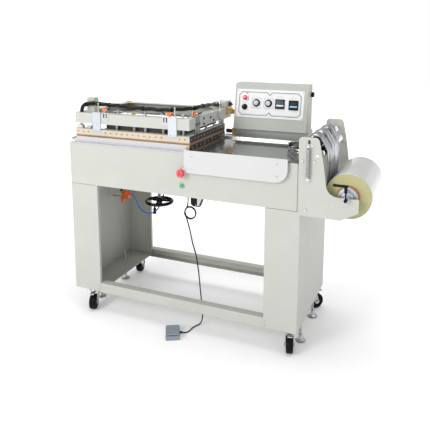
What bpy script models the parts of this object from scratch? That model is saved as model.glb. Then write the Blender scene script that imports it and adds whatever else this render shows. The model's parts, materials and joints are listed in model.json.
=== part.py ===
"""A pneumatic L-bar film sealer on a castor stand.

The stand, the beam with its tray and seal bars, the lifting seal head, the height-adjusted
belt, the control console, the film holder and the foot pedal are each built from their own
sub-parts.  Lengths are in millimetres, X runs along the beam, Y from the operator's side to
the back and Z up from the floor; place() turns them into metres about the frame's origin.
"""

import math

import bmesh
import bpy
from mathutils import Matrix, Vector

MM = 0.001
GAP = 0.3
SHEET = 2.5
RUNNING = 0.08
FIT_STEPS = 48

# The origin stands on the floor, under the middle of the machine without its pedal and cord.
CENTRE_X = 711.6
CENTRE_Y = 265.3

# Stand
WIDTH = 1200.0
DEPTH = 544.0
LEG = 157.0
LEG_BOTTOM = 115.0
RAIL_HEIGHT = 49.0
RAIL_DEPTH = 40.0
LIP = 15.0
FLOOR_PLATE = 3.0
PAD_THICKNESS = 4.0

# Castors: the swivel's place, then the angle of the wheel's trail about Z, in degrees
CASTORS = {
    "front_left": (84.0, 52.0, -72.0),
    "front_right": (1150.0, 66.0, -72.0),
    "rear_left": (84.0, 492.0, 100.0),
    "rear_right": (1150.0, 478.0, 45.0),
}
WHEEL_RADIUS = 40.0
WHEEL_WIDTH = 32.0
WHEEL_STEPS = 24
TRAIL = 32.0
CASTOR_AXLE = 5.0
CHEEK = 3.0

# Levelling feet
FEET = {
    "front_left": (50.0, 150.0),
    "front_right": (1182.0, 150.0),
    "rear_left": (50.0, 396.0),
    "rear_right": (1182.0, 396.0),
}
FOOT_RADIUS = 24.0
FOOT_CLEAR = 3.0
STEM_RADIUS = 6.0
STEM_TOP = 178.0

# Beam
BEAM_BOTTOM = 688.0
BEAM_TOP = 896.0
BELT_WELL = (-1.0, 628.0, 95.0, 485.0)
FILM_WELL = (1062.0, 1184.0, 14.0, 500.0)
WELL_SILL = 806.0
SCREW_X = 361.0
SCREW_Y = 272.0
SCREW_RADIUS = 9.0
CROSSBAR = 60.0

# Push buttons on the beam's front
ESTOP_X = 643.0
ESTOP_Z = 807.0
START_X = 635.0
START_Z = 740.0

# Tray and apron
TRAY_TOP = 915.8
TRAY_LEFT = 672.0
TRAY_BACK = 345.0
APRON_LEFT = 655.0
APRON_RIGHT = 1147.0
APRON_FACE = -18.0
APRON_BOTTOM = 809.0
APRON_CORNER = 60.0

# Seal bars, an L seen from above: the front arm along X, the side arm along Y
BAR_LEFT = 28.0
BAR_RIGHT = 667.0
BAR_FRONT = 20.0
BAR_BACK = 450.0
BAR_WIDTH = 30.0
LOWER_BAR_TOP = 932.0
STRIP_TOP = 938.7
UPPER_BAR_BOTTOM = 939.0
UPPER_BAR_TOP = 972.0
PIN_RADIUS = 4.0
PIN_TOP = 1018.0
FRONT_PINS = (50.0, 122.0, 262.0, 362.0, 424.0, 522.0, 628.0)
SIDE_PINS = (140.0, 240.0, 340.0, 430.0)
HOLE_RADIUS = 5.5
HOLE_Z = 957.0
HOLE_ROWS = ((42.0, 31.0, 3), (205.0, 31.5, 11), (616.0, 27.0, 2))

# Seal head
HEAD_LEFT = 27.0
HEAD_RIGHT = 667.0
HEAD_FRONT = 20.0
HEAD_BACK = 500.0
HEAD_BOTTOM = 999.0
HEAD_TOP = 1052.0
HEAD_FLANGE = 40.0
HEAD_SKIRT = 983.0
ROD_RADIUS = 10.0
LEFT_ROD = (95.0, 79.0)
RIGHT_ROD = (633.0, 500.0)
LEFT_TOWER = ((73.0, 60.3, 1000.0), (116.0, 98.0, 1122.0))
RIGHT_TOWER = ((600.0, 452.0, 995.0), (667.0, 545.0, 1083.0))
CLAMPS = {"left": 135.0, "right": 558.0}
CLAMP_WIDTH = 45.0
CLAMP_BOTTOM = 965.0
CLAMP_TOP = 1059.0
HARNESS_RADIUS = 8.0

# Belt conveyor inside the head's opening
BELT_FRONT = 104.0
BELT_REAR = 470.0
DRIVE = (594.0, 894.0, 20.0)
KNEE = (8.0, 908.0, 6.0)
NOSE = (-60.0, 893.0, 7.0)
BELT_THICKNESS = 2.0
SIDE_PLATE = 4.0
ROLLER_STUB = 6.0

# Handwheel
HANDWHEEL_Z = 553.0
HANDWHEEL_RADIUS = 70.0
RIM_RADIUS = 7.0

# Console: its side outline runs along Y and Z, and its face leans back
CONSOLE_LEFT = 735.0
CONSOLE_RIGHT = 1120.0
FACE_FOOT = (400.0, 957.0)
FACE_HEAD = (440.0, 1191.0)
CONSOLE_BACK = 510.0
PEDESTAL = (430.0, 540.0)
# Places on the face: along X, then up the slope from the face's foot
FACE_CENTRE = (922.5, 134.0)
POWER_BUTTON = (792.5, 162.0)
POWER_RADIUS = 14.0
SELECTOR = (791.0, 115.0)
LEFT_DIAL = (853.5, 138.0)
RIGHT_DIAL = (917.5, 138.0)

# Film holder
PLATE_THICKNESS = 3.0
ROLL_X = 1395.0
ROLL_Z = 768.0
ROLL_RADIUS = 98.0
ROLL_FRONT = 40.0
ROLL_REAR = 395.0
CORE_RADIUS = 48.0
CORE_BORE = 38.3
SHAFT_RADIUS = 12.7
UPPER_ROLLER = (1243.0, 981.0, 26.0)
LOWER_ROLLER = (1270.0, 940.0, 22.0)
ROLLER_FRONT = 20.0
ROLLER_REAR = 440.0
JOURNAL_RADIUS = 6.0
TIES = ((1206.0, 912.0), (1257.0, 913.0), (1225.0, 700.0))
TIE_RADIUS = 7.0

# Foot pedal and its cord
PEDAL_CENTRE = (600.0, -45.0)
PEDAL_TURN = -62.0
CORD_RADIUS = 3.0
CORD_GLAND = (636.0, 60.0, 676.0)
COIL_CENTRE = (646.0, 66.0, 590.0)
COIL_RADIUS = 34.0


# --- Shape helpers -------------------------------------------------------------------------


def place(x, y, z):
    """Turn machine millimetres into the part's own metres."""
    return Vector(((x - CENTRE_X) * MM, (y - CENTRE_Y) * MM, z * MM))


def box(low, high):
    """A block between two opposite corners."""
    shape = bmesh.new()
    bmesh.ops.create_cube(shape, size=1.0)
    for vert in shape.verts:
        for axis in range(3):
            vert.co[axis] = high[axis] if vert.co[axis] > 0 else low[axis]
    return shape


def prism(outline, axis, low, high):
    """Extrude an outline along X, Y or Z; its points hold the two other coordinates."""
    shape = bmesh.new()
    slots = [i for i in range(3) if i != "XYZ".index(axis)]
    verts = []
    for point in outline:
        where = [low, low, low]
        where[slots[0]], where[slots[1]] = point
        verts.append(shape.verts.new(where))
    face = shape.faces.new(verts)
    moved = bmesh.ops.extrude_face_region(shape, geom=[face])["geom"]
    along = Vector([high - low if i not in slots else 0.0 for i in range(3)])
    bmesh.ops.translate(shape, vec=along, verts=[g for g in moved if isinstance(g, bmesh.types.BMVert)])
    return shape


def arc(centre, radius, start, end, steps):
    """Points on an arc, in degrees."""
    points = []
    for i in range(steps + 1):
        angle = math.radians(start + (end - start) * i / steps)
        points.append((centre[0] + radius * math.cos(angle), centre[1] + radius * math.sin(angle)))
    return points


def turned(profile, centre, axis="Z", steps=24):
    """Turn a profile of (radius, height) points about a line through centre along axis."""
    shape = bmesh.new()
    rings = []
    for radius, height in profile:
        if radius == 0:
            rings.append([shape.verts.new((0, 0, height))])
            continue
        ring = []
        for i in range(steps):
            angle = 2 * math.pi * (i + 0.5) / steps
            ring.append(shape.verts.new((radius * math.cos(angle), radius * math.sin(angle), height)))
        rings.append(ring)
    for one, two in zip(rings, rings[1:]):
        join_rings(shape, one, two)
    for ring in (rings[0], rings[-1]):
        if len(ring) > 1:
            shape.faces.new(ring)
    return turn_to(shape, centre, axis)


def hollow_turned(profile, centre, axis="Z", steps=24):
    """Turn a closed profile that stays clear of the axis, which leaves a hole through it."""
    shape = bmesh.new()
    rings = []
    for radius, height in profile:
        ring = []
        for i in range(steps):
            angle = 2 * math.pi * (i + 0.5) / steps
            ring.append(shape.verts.new((radius * math.cos(angle), radius * math.sin(angle), height)))
        rings.append(ring)
    for i, ring in enumerate(rings):
        join_rings(shape, ring, rings[(i + 1) % len(rings)])
    return turn_to(shape, centre, axis)


def join_rings(shape, one, two):
    """Faces between two rings of points, either of which may be a single point."""
    count = max(len(one), len(two))
    for i in range(count):
        j = (i + 1) % count
        corners = [one[i % len(one)], one[j % len(one)], two[j % len(two)], two[i % len(two)]]
        shape.faces.new(list(dict.fromkeys(corners)))


def turn_to(shape, centre, axis):
    """Lay a shape that was made about Z along another axis, and move it into place."""
    turns = {"Z": Matrix.Identity(3), "X": Matrix.Rotation(math.pi / 2, 3, "Y"),
             "Y": Matrix.Rotation(-math.pi / 2, 3, "X")}
    bmesh.ops.rotate(shape, cent=(0, 0, 0), matrix=turns[axis], verts=shape.verts)
    bmesh.ops.translate(shape, vec=centre, verts=shape.verts)
    return shape


def cylinder(centre, axis, radius, low, high, steps=16):
    """A plain rod along axis; low and high are measured from centre."""
    return turned([(radius, low), (radius, high)], centre, axis, steps)


def scratch_object(shape):
    """Put a bmesh on a temporary object."""
    bmesh.ops.recalc_face_normals(shape, faces=shape.faces)
    mesh = bpy.data.meshes.new("scratch")
    shape.to_mesh(mesh)
    shape.free()
    holder = bpy.data.objects.new("scratch", mesh)
    holder.hide_render = True
    holder.display_type = "WIRE"
    bpy.context.scene.collection.objects.link(holder)
    return holder


def combine(base, tools, operation):
    """Boolean several shapes onto a base, and return the result as one shape."""
    for tool in tools:
        target = scratch_object(base)
        cutter = scratch_object(tool)
        modifier = target.modifiers.new("combine", "BOOLEAN")
        modifier.operation = operation
        modifier.solver = "EXACT"
        modifier.object = cutter
        view = bpy.context.evaluated_depsgraph_get()
        base = bmesh.new()
        base.from_mesh(target.evaluated_get(view).to_mesh())
        for used in (target, cutter):
            mesh = used.data
            bpy.data.objects.remove(used)
            bpy.data.meshes.remove(mesh)
    bmesh.ops.dissolve_degenerate(base, dist=0.001, edges=base.edges)
    return base


def join(base, *tools):
    """The union of touching or overlapping shapes."""
    return combine(base, tools, "UNION")


def cut(base, *tools):
    """A shape with others cut away from it."""
    return combine(base, tools, "DIFFERENCE")


MATERIALS = {
    "paint": ((0.72, 0.73, 0.66), 0.45, 0.0),
    "panel_white": ((0.86, 0.87, 0.86), 0.4, 0.0),
    "stainless": ((0.66, 0.66, 0.66), 0.12, 1.0),
    "aluminium": ((0.76, 0.78, 0.82), 0.35, 1.0),
    "bar_white": ((0.86, 0.87, 0.88), 0.35, 0.0),
    "bar_cream": ((0.84, 0.80, 0.70), 0.4, 0.0),
    "seal_tape": ((0.34, 0.16, 0.05), 0.6, 0.0),
    "chrome": ((0.80, 0.80, 0.80), 0.08, 1.0),
    "zinc": ((0.62, 0.62, 0.60), 0.35, 1.0),
    "steel": ((0.50, 0.50, 0.50), 0.4, 1.0),
    "black_plastic": ((0.02, 0.02, 0.02), 0.45, 0.0),
    "black_rubber": ((0.02, 0.02, 0.02), 0.75, 0.0),
    "belt_green": ((0.02, 0.10, 0.07), 0.6, 0.0),
    "red_plastic": ((0.75, 0.03, 0.04), 0.35, 0.0),
    "green_plastic": ((0.05, 0.50, 0.18), 0.35, 0.0),
    "film": ((0.62, 0.62, 0.58), 0.25, 0.0),
    "card": ((0.45, 0.26, 0.10), 0.85, 0.0),
    "orange_plastic": ((0.90, 0.25, 0.02), 0.4, 0.0),
    "blue_hose": ((0.02, 0.25, 0.65), 0.35, 0.0),
    "brass": ((0.70, 0.52, 0.25), 0.3, 1.0),
    "pedal_grey": ((0.20, 0.24, 0.28), 0.6, 0.0),
}


def material(slot):
    """The named Principled material, made the first time it is asked for."""
    found = bpy.data.materials.get(slot)
    if found:
        return found
    colour, roughness, metallic = MATERIALS[slot]
    made = bpy.data.materials.new(slot)
    made.use_nodes = True
    shader = made.node_tree.nodes["Principled BSDF"]
    shader.inputs["Base Color"].default_value = (*colour, 1.0)
    shader.inputs["Roughness"].default_value = roughness
    shader.inputs["Metallic"].default_value = metallic
    return made


def piece(name, shape, slot, pivot=None, smooth=False):
    """Make the named object, with its origin on the pivot."""
    if pivot is None:
        pivot = sum((v.co for v in shape.verts), Vector()) / len(shape.verts)
    pivot = Vector(pivot)
    bmesh.ops.recalc_face_normals(shape, faces=shape.faces)
    bmesh.ops.translate(shape, vec=-pivot, verts=shape.verts)
    bmesh.ops.scale(shape, vec=(MM, MM, MM), verts=shape.verts)
    mesh = bpy.data.meshes.new(name)
    shape.to_mesh(mesh)
    shape.free()
    if smooth:
        mesh.shade_smooth()
        mesh.set_sharp_from_angle(angle=math.radians(35))
    mesh.materials.append(material(slot))
    made = bpy.data.objects.new(name, mesh)
    made.location = place(*pivot)
    bpy.context.scene.collection.objects.link(made)
    return made


def smooth_route(points, spacing, lead):
    """Evenly spaced points on a smooth curve through a route's own points, with square ends."""
    ends = [2 * points[0] - points[1], *points, 2 * points[-1] - points[-2]]
    dense = []
    for a, b, c, d in zip(ends, ends[1:], ends[2:], ends[3:]):
        for i in range(24):
            t = i / 24
            dense.append(0.5 * (2 * b + (c - a) * t + (2 * a - 5 * b + 4 * c - d) * t * t
                                + (3 * b - 3 * c + d - a) * t ** 3))
    dense.append(points[-1])
    length = sum((q - p).length for p, q in zip(dense, dense[1:]))
    count = max(2, round(length / spacing))
    route = [dense[0]]
    walked = 0.0
    for p, q in zip(dense, dense[1:]):
        step = (q - p).length
        while len(route) < count and walked + step >= len(route) * length / count:
            route.append(p.lerp(q, (len(route) * length / count - walked) / step))
        walked += step
    first = points[0] + (points[1] - points[0]).normalized() * lead
    last = points[-1] + (points[-2] - points[-1]).normalized() * lead
    return [points[0], first, *route[1:], last, points[-1]]


def tube(name, route, radius, slot, resolution=2):
    """A round cord or hose along a hand-chosen route."""
    points = smooth_route([Vector(p) for p in route], 6.0 * radius, radius)
    curve = bpy.data.curves.new(name, "CURVE")
    curve.dimensions = "3D"
    curve.bevel_depth = radius * MM
    curve.bevel_resolution = resolution
    curve.use_fill_caps = True
    spline = curve.splines.new("POLY")
    spline.points.add(len(points) - 1)
    for slot_point, point in zip(spline.points, points):
        slot_point.co = (*place(*point), 1.0)
    curve.materials.append(material(slot))
    made = bpy.data.objects.new(name, curve)
    bpy.context.scene.collection.objects.link(made)
    return made


# --- Stand ---------------------------------------------------------------------------------


def mirror_x(points):
    """Mirror an outline about the middle of the stand."""
    return [(WIDTH - x, y) for x, y in points]


def leg(side):
    """A folded sheet-metal leg, open towards the middle, with a floor plate and castor pads."""
    low, high, t = 0.0, DEPTH, SHEET
    outline = [(0, low), (LEG, low), (LEG, low + LIP), (LEG - t, low + LIP), (LEG - t, low + t),
               (t, low + t), (t, high - t), (LEG - t, high - t), (LEG - t, high - LIP),
               (LEG, high - LIP), (LEG, high), (0, high)]
    floor = (1.0, LEG - 1.0)
    if side == "right":
        outline = mirror_x(outline)
        floor = (WIDTH - LEG + 1.0, WIDTH - 1.0)
    walls = prism(outline, "Z", LEG_BOTTOM, BEAM_BOTTOM - GAP)
    plate = box((floor[0], 1.0, LEG_BOTTOM), (floor[1], DEPTH - 1.0, LEG_BOTTOM + FLOOR_PLATE))
    pads = []
    for key, (x, y, _) in CASTORS.items():
        if key.endswith(side):
            pads.append(box((x - 38, y - 38, LEG_BOTTOM - PAD_THICKNESS), (x + 38, y + 38, LEG_BOTTOM + 1)))
    stems = []
    for key, (x, y) in FEET.items():
        if key.endswith(side):
            stems.append(cylinder((x, y, LEG_BOTTOM), "Z", STEM_RADIUS + RUNNING, -10, 10))
    piece(side + "_leg", cut(join(walls, plate, *pads), *stems), "paint")


def rail(name, face, inward):
    """A channel rail between the legs; inward is +1 at the front and -1 at the back."""
    low, high, t = LEG_BOTTOM, LEG_BOTTOM + RAIL_HEIGHT, SHEET
    edge = face + inward * RAIL_DEPTH
    web = face + inward * t
    outline = [(face, low), (edge, low), (edge, low + t), (web, low + t),
               (web, high - t), (edge, high - t), (edge, high), (face, high)]
    piece(name, prism(outline, "X", LEG + GAP, WIDTH - LEG - GAP), "paint")


def castor(name, x, y, trail_angle):
    """A swivel fork with its axle and brake pedal, and the wheel that runs on the axle."""
    half = WHEEL_WIDTH / 2
    top = LEG_BOTTOM - PAD_THICKNESS - GAP
    crown = turned([(24, 92), (30, 97), (30, top)], (0, 0, 0), "Z", 16)
    cheek = [(-24, 96)] + arc((TRAIL, WHEEL_RADIUS), 13, 200, 350, 4) + [(24, 96)]
    cheeks = []
    for side in (-1, 1):
        inner = side * (half + 1.5)
        cheeks.append(prism(cheek, "Y", min(inner, inner + side * CHEEK), max(inner, inner + side * CHEEK)))
    bridge = box((-24, -half - 4, 88.5), (24, half + 4, 95))
    axle = cylinder((TRAIL, 0, WHEEL_RADIUS), "Y", CASTOR_AXLE, -half - 7, half + 7, 12)
    pedal = box((14, -11, 91), (66, 11, 95.5))
    fork = join(crown, bridge, *cheeks, axle, pedal)
    tyre = WHEEL_RADIUS / math.cos(math.pi / WHEEL_STEPS)
    tread = [(CASTOR_AXLE + RUNNING, -half), (36, -half), (tyre, -half + 6),
             (tyre, half - 6), (36, half), (CASTOR_AXLE + RUNNING, half)]
    wheel = hollow_turned(tread, (TRAIL, 0, WHEEL_RADIUS), "Y", WHEEL_STEPS)
    turn = Matrix.Rotation(math.radians(trail_angle), 3, "Z")
    for shape in (fork, wheel):
        bmesh.ops.rotate(shape, cent=(0, 0, 0), matrix=turn, verts=shape.verts)
        bmesh.ops.translate(shape, vec=(x, y, 0), verts=shape.verts)
    hub = turn @ Vector((TRAIL, 0, WHEEL_RADIUS)) + Vector((x, y, 0))
    piece(name + "_castor_fork", fork, "zinc", (x, y, top))
    piece(name + "_castor_wheel", wheel, "black_rubber", hub, smooth=True)


def levelling_foot(name, x, y):
    """A pad on a threaded stem that screws through the leg's floor plate."""
    profile = [(FOOT_RADIUS, FOOT_CLEAR), (FOOT_RADIUS, 8), (11, 15), (STEM_RADIUS, 20),
               (STEM_RADIUS, STEM_TOP)]
    piece(name + "_levelling_foot", turned(profile, (x, y, 0), "Z", 16), "zinc", (x, y, 0), smooth=True)


# --- Beam and table ------------------------------------------------------------------------


def beam():
    """The folded housing that carries everything: open below, with a well for the belt."""
    t = SHEET
    outer = box((0, 0, BEAM_BOTTOM), (WIDTH, DEPTH, BEAM_TOP))
    inner = box((t, t, BEAM_BOTTOM - 5), (WIDTH - t, DEPTH - t, BEAM_TOP - t))
    left, right, front, back = BELT_WELL
    well = box((left, front, WELL_SILL), (right, back, BEAM_TOP + 5))
    left, right, front, back = FILM_WELL
    film_well = box((left, front, BEAM_TOP - 10), (right, back, BEAM_TOP + 5))
    shell = cut(outer, inner, well, film_well)
    half = CROSSBAR / 2
    bar = box((SCREW_X - half, 1, BEAM_BOTTOM + 2), (SCREW_X + half, DEPTH - 1, BEAM_BOTTOM + 12))
    flange = box((1, 1, BEAM_BOTTOM), (WIDTH - 1, 70, BEAM_BOTTOM + t))
    shell = join(shell, bar, flange)
    bore = cylinder((SCREW_X, SCREW_Y, BEAM_BOTTOM), "Z", SCREW_RADIUS + RUNNING, -5, 20, FIT_STEPS)
    stop = cylinder((ESTOP_X, 0, ESTOP_Z), "Y", 11.5, -5, 10)
    start = cylinder((START_X, 0, START_Z), "Y", 10.4, -5, 10)
    piece("beam", cut(shell, bore, stop, start), "paint")


def push_buttons():
    """The mushroom stop button and the start button on the beam's front."""
    stop = [(0, -39), (12, -39), (18, -36), (20, -31), (20, -25), (11, -23.6), (11, 9), (0, 9)]
    piece("stop_button", turned(stop, (ESTOP_X, 0, ESTOP_Z), "Y"), "red_plastic",
          (ESTOP_X, 0, ESTOP_Z), smooth=True)
    start = [(0, -11), (8.5, -11), (10, -9.5), (10, 9), (0, 9)]
    piece("start_button", turned(start, (START_X, 0, START_Z), "Y"), "green_plastic",
          (START_X, 0, START_Z), smooth=True)


def apron():
    """The pale front plate with one big rounded corner and a folded top edge."""
    low, high = APRON_BOTTOM, TRAY_TOP
    corner = (APRON_RIGHT - APRON_CORNER, low + APRON_CORNER)
    outline = [(APRON_LEFT, low)] + arc(corner, APRON_CORNER, -90, 0, 8)
    outline += [(APRON_RIGHT, high), (APRON_LEFT, high)]
    face = prism(outline, "Y", APRON_FACE, APRON_FACE + SHEET)
    top = box((APRON_LEFT, APRON_FACE + 1, high - 5), (APRON_RIGHT, -GAP, high - 2.4))
    side = box((APRON_LEFT, APRON_FACE + 1, low), (APRON_LEFT + SHEET, -GAP, high - 3))
    piece("apron", join(face, top, side), "panel_white")


def tray():
    """The polished tray: its right edge slants, where the film is folded."""
    front = APRON_FACE + SHEET + GAP
    outline = [(TRAY_LEFT, front), (1143, front), (1049, TRAY_BACK), (TRAY_LEFT, TRAY_BACK)]
    sheet = prism(outline, "Z", TRAY_TOP - 2.0, TRAY_TOP)
    feet = []
    for y in (30.0, 318.0):
        feet.append(box((690, y, BEAM_TOP + GAP), (1030, y + SHEET, TRAY_TOP - 1)))
    piece("tray", join(sheet, *feet), "stainless")


def tray_rail():
    """The polished channel behind the tray."""
    low, high = BEAM_TOP + GAP, 925.0
    outline = [(346, low), (346, high), (414, high), (414, low), (414 - SHEET, low),
               (414 - SHEET, high - SHEET), (346 + SHEET, high - SHEET), (346 + SHEET, low)]
    piece("tray_rail", prism(outline, "X", 689, 1141), "stainless")


def l_outline(inset):
    """The seal bars' outline from above, drawn in by inset on its outer sides."""
    left, right = BAR_LEFT, BAR_RIGHT - inset
    front, back = BAR_FRONT + inset, BAR_BACK
    width = BAR_WIDTH - inset
    return [(left, front), (right, front), (right, back), (right - width, back),
            (right - width, front + width), (left, front + width)]


def lower_bars():
    """The fixed seal bar and the brown seal strip on it."""
    piece("lower_seal_bar", prism(l_outline(0), "Z", BEAM_TOP + GAP, LOWER_BAR_TOP), "bar_white")
    piece("seal_strip", prism(l_outline(0.6), "Z", LOWER_BAR_TOP + GAP, STRIP_TOP), "seal_tape")


# --- Seal head -----------------------------------------------------------------------------


def pin_places():
    """Where the upper bar's guide pins stand."""
    row = BAR_FRONT + 17.0
    column = BAR_RIGHT - 15.0
    return [(x, row) for x in FRONT_PINS] + [(column, y) for y in SIDE_PINS]


def upper_bar():
    """The floating seal bar, with its row of recesses and the guide pins on top."""
    bar = prism(l_outline(0), "Z", UPPER_BAR_BOTTOM, UPPER_BAR_TOP)
    pins = []
    for x, y in pin_places():
        pins.append(cylinder((x, y, 0), "Z", PIN_RADIUS, UPPER_BAR_TOP - 2, PIN_TOP, 8))
    recesses = []
    for first, pitch, count in HOLE_ROWS:
        for i in range(count):
            centre = (first + i * pitch, BAR_FRONT, HOLE_Z)
            recesses.append(cylinder(centre, "Y", HOLE_RADIUS, -2, 8, 6))
    shape = cut(join(bar, *pins), *recesses)
    piece("upper_seal_bar", shape, "bar_cream", (BAR_RIGHT, BAR_FRONT, UPPER_BAR_BOTTOM))


def head_frame():
    """The head's ring of channel, open inwards, with clearance for the pins and the tower."""
    outer = box((HEAD_LEFT, HEAD_FRONT, HEAD_BOTTOM), (HEAD_RIGHT, HEAD_BACK, HEAD_TOP))
    low = (HEAD_LEFT + HEAD_FLANGE, HEAD_FRONT + HEAD_FLANGE, HEAD_BOTTOM - 5)
    high = (HEAD_RIGHT - HEAD_FLANGE, HEAD_BACK - HEAD_FLANGE, HEAD_TOP + 5)
    t = SHEET
    groove = box((HEAD_LEFT + t, HEAD_FRONT + t, HEAD_BOTTOM + t),
                 (HEAD_RIGHT - t, HEAD_BACK - t, HEAD_TOP - t))
    tower = box((RIGHT_TOWER[0][0] - GAP, RIGHT_TOWER[0][1] - GAP, HEAD_BOTTOM - 5),
                (HEAD_RIGHT + 5, HEAD_BACK + 5, HEAD_TOP + 5))
    ring = cut(outer, box(low, high), groove, tower)
    skirt = box((HEAD_LEFT, HEAD_BACK - t, HEAD_SKIRT), (RIGHT_TOWER[0][0] - GAP, HEAD_BACK, HEAD_BOTTOM + 1))
    holes = []
    for x, y in pin_places():
        holes.append(cylinder((x, y, HEAD_BOTTOM), "Z", PIN_RADIUS + 1, -2, 5, 8))
    shape = cut(join(ring, skirt), *holes)
    piece("head_frame", shape, "paint", (*RIGHT_ROD, HEAD_BOTTOM))


def guide(side, rod, tower, rod_top, bore_top):
    """A guide rod that stands on the beam, and the tower on the head that slides on it."""
    x, y = rod
    foot = [(ROD_RADIUS, BEAM_TOP + GAP), (ROD_RADIUS, rod_top - 2), (ROD_RADIUS - 2, rod_top)]
    piece("guide_rod_" + side, turned(foot, (x, y, 0)), "chrome", (x, y, BEAM_TOP), smooth=True)
    block = box(*tower)
    bore = turned([(ROD_RADIUS + RUNNING, 900.0), (ROD_RADIUS + RUNNING, bore_top)], (x, y, 0))
    piece("guide_tower_" + side, cut(block, bore), "paint", (x, y, tower[0][2]))


def clamp_plates():
    """The two plates that guide the seal bar against the front channel."""
    for side, x in CLAMPS.items():
        low = (x, HEAD_FRONT - 4.3, CLAMP_BOTTOM)
        high = (x + CLAMP_WIDTH, HEAD_FRONT - GAP, CLAMP_TOP)
        piece("clamp_plate_" + side, box(low, high), "aluminium")


HARNESS_ROUTE = ((54, 42, 1052.4), (54, 42, 1066), (70, 41, 1088), (105, 40, 1099), (165, 40, 1097),
                 (225, 40, 1095), (300, 40, 1095), (353, 40, 1089), (444, 40, 1091), (527, 40, 1088),
                 (600, 46, 1096), (642, 74, 1098), (656, 118, 1096), (657, 170, 1096),
                 (652, 240, 1092), (642, 310, 1086), (634, 380, 1079), (633, 425, 1068),
                 (633, 451.7, 1068))


def harness():
    """The wrapped cable bundle along the head, from the front channel to the right tower."""
    tube("cable_harness", HARNESS_ROUTE, HARNESS_RADIUS, "black_plastic", 2)


# --- Belt conveyor and its height screw ----------------------------------------------------


def tangent(one, two):
    """The direction from each centre to where the circles' outer tangent touches, in degrees."""
    (x1, z1, r1), (x2, z2, r2) = one, two
    gap_x, gap_z = x2 - x1, z2 - z1
    lean = math.asin((r1 - r2) / math.hypot(gap_x, gap_z))
    return math.degrees(math.atan2(gap_z, gap_x) - math.pi / 2 + lean)


def belt_outline(offset):
    """The belt's path round the drive roller, over the knee and round the nose."""
    circles = [DRIVE, KNEE, NOSE]
    leave = [tangent(circles[i], circles[(i + 1) % 3]) for i in range(3)]
    points = []
    for i, (x, z, radius) in enumerate(circles):
        start, end = leave[i - 1], leave[i]
        while end < start:
            end += 360
        points += arc((x, z), radius + offset, start, end, max(2, round((end - start) / 12)))
    return points


def conveyor():
    """The belt on its bed, which rises and falls on the height screw."""
    loop = prism(belt_outline(GAP + BELT_THICKNESS), "Y", BELT_FRONT, BELT_REAR)
    hollow = prism(belt_outline(GAP), "Y", BELT_FRONT - 5, BELT_REAR + 5)
    anchor = (SCREW_X, SCREW_Y, 850)
    piece("conveyor_belt", cut(loop, hollow), "belt_green", anchor)
    outline = [(-66, 893), (-62, 899), (5, 909), (614, 909), (614, 878), (440, 878), (440, 848),
               (280, 848), (280, 878), (-20, 878), (-62, 887)]
    sides = []
    for y in (BELT_FRONT - 2 - SIDE_PLATE, BELT_REAR + 2):
        sides.append(prism(outline, "Y", y, y + SIDE_PLATE))
    inner = (BELT_FRONT - 3, BELT_REAR + 3)
    bed = box((10, inner[0], 905), (570, inner[1], 913.8))
    nose = cylinder((NOSE[0], 0, NOSE[1]), "Y", NOSE[2], *inner, 12)
    floor = box((290, inner[0], 848), (430, inner[1], 852))
    nut = cylinder((SCREW_X, SCREW_Y, 0), "Z", 16, 770, 850)
    frame = join(sides[0], sides[1], bed, nose, floor, nut)
    bore = cylinder((SCREW_X, SCREW_Y, 0), "Z", SCREW_RADIUS + RUNNING, 760, 855, FIT_STEPS)
    journal = cylinder((DRIVE[0], 0, DRIVE[1]), "Y", ROLLER_STUB + RUNNING, 90, 490, FIT_STEPS)
    piece("conveyor_bed", cut(frame, bore, journal), "zinc", anchor)
    front, back = BELT_FRONT, BELT_REAR
    profile = [(ROLLER_STUB, front - 8), (ROLLER_STUB, front), (DRIVE[2], front), (DRIVE[2], back),
               (ROLLER_STUB, back), (ROLLER_STUB, back + 8)]
    roller = turned(profile, (DRIVE[0], 0, DRIVE[1]), "Y", FIT_STEPS)
    piece("drive_roller", roller, "steel", (DRIVE[0], SCREW_Y, DRIVE[1]), smooth=True)


def handwheel():
    """The three-spoked handwheel under the beam, on the screw that sets the belt's height."""
    ring = []
    for i in range(6):
        angle = math.radians(60 * i)
        ring.append((HANDWHEEL_RADIUS + RIM_RADIUS * math.cos(angle),
                     HANDWHEEL_Z + RIM_RADIUS * math.sin(angle)))
    rim = hollow_turned(ring, (0, 0, 0), "Z", 20)
    screw = turned([(12, 538), (16, 542), (16, 572), (SCREW_RADIUS, 578), (SCREW_RADIUS, 676),
                    (14, 676), (14, BEAM_BOTTOM + 1.4), (SCREW_RADIUS, BEAM_BOTTOM + 1.4),
                    (SCREW_RADIUS, 808)], (0, 0, 0), "Z", FIT_STEPS)
    spokes = []
    for i in range(3):
        spoke = box((10, -5, HANDWHEEL_Z - 4), (HANDWHEEL_RADIUS, 5, HANDWHEEL_Z + 4))
        turn = Matrix.Rotation(math.radians(120 * i + 40), 3, "Z")
        bmesh.ops.rotate(spoke, cent=(0, 0, 0), matrix=turn, verts=spoke.verts)
        spokes.append(spoke)
    grip = turned([(5, 505), (9, 508), (8, 535), (4, 540), (4, 552)], (10, -HANDWHEEL_RADIUS + 1, 0), "Z", 10)
    shape = join(screw, *spokes, rim, grip)
    bmesh.ops.translate(shape, vec=(SCREW_X, SCREW_Y, 0), verts=shape.verts)
    piece("handwheel", shape, "black_plastic", (SCREW_X, SCREW_Y, HANDWHEEL_Z), smooth=True)


# --- Console -------------------------------------------------------------------------------


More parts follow.
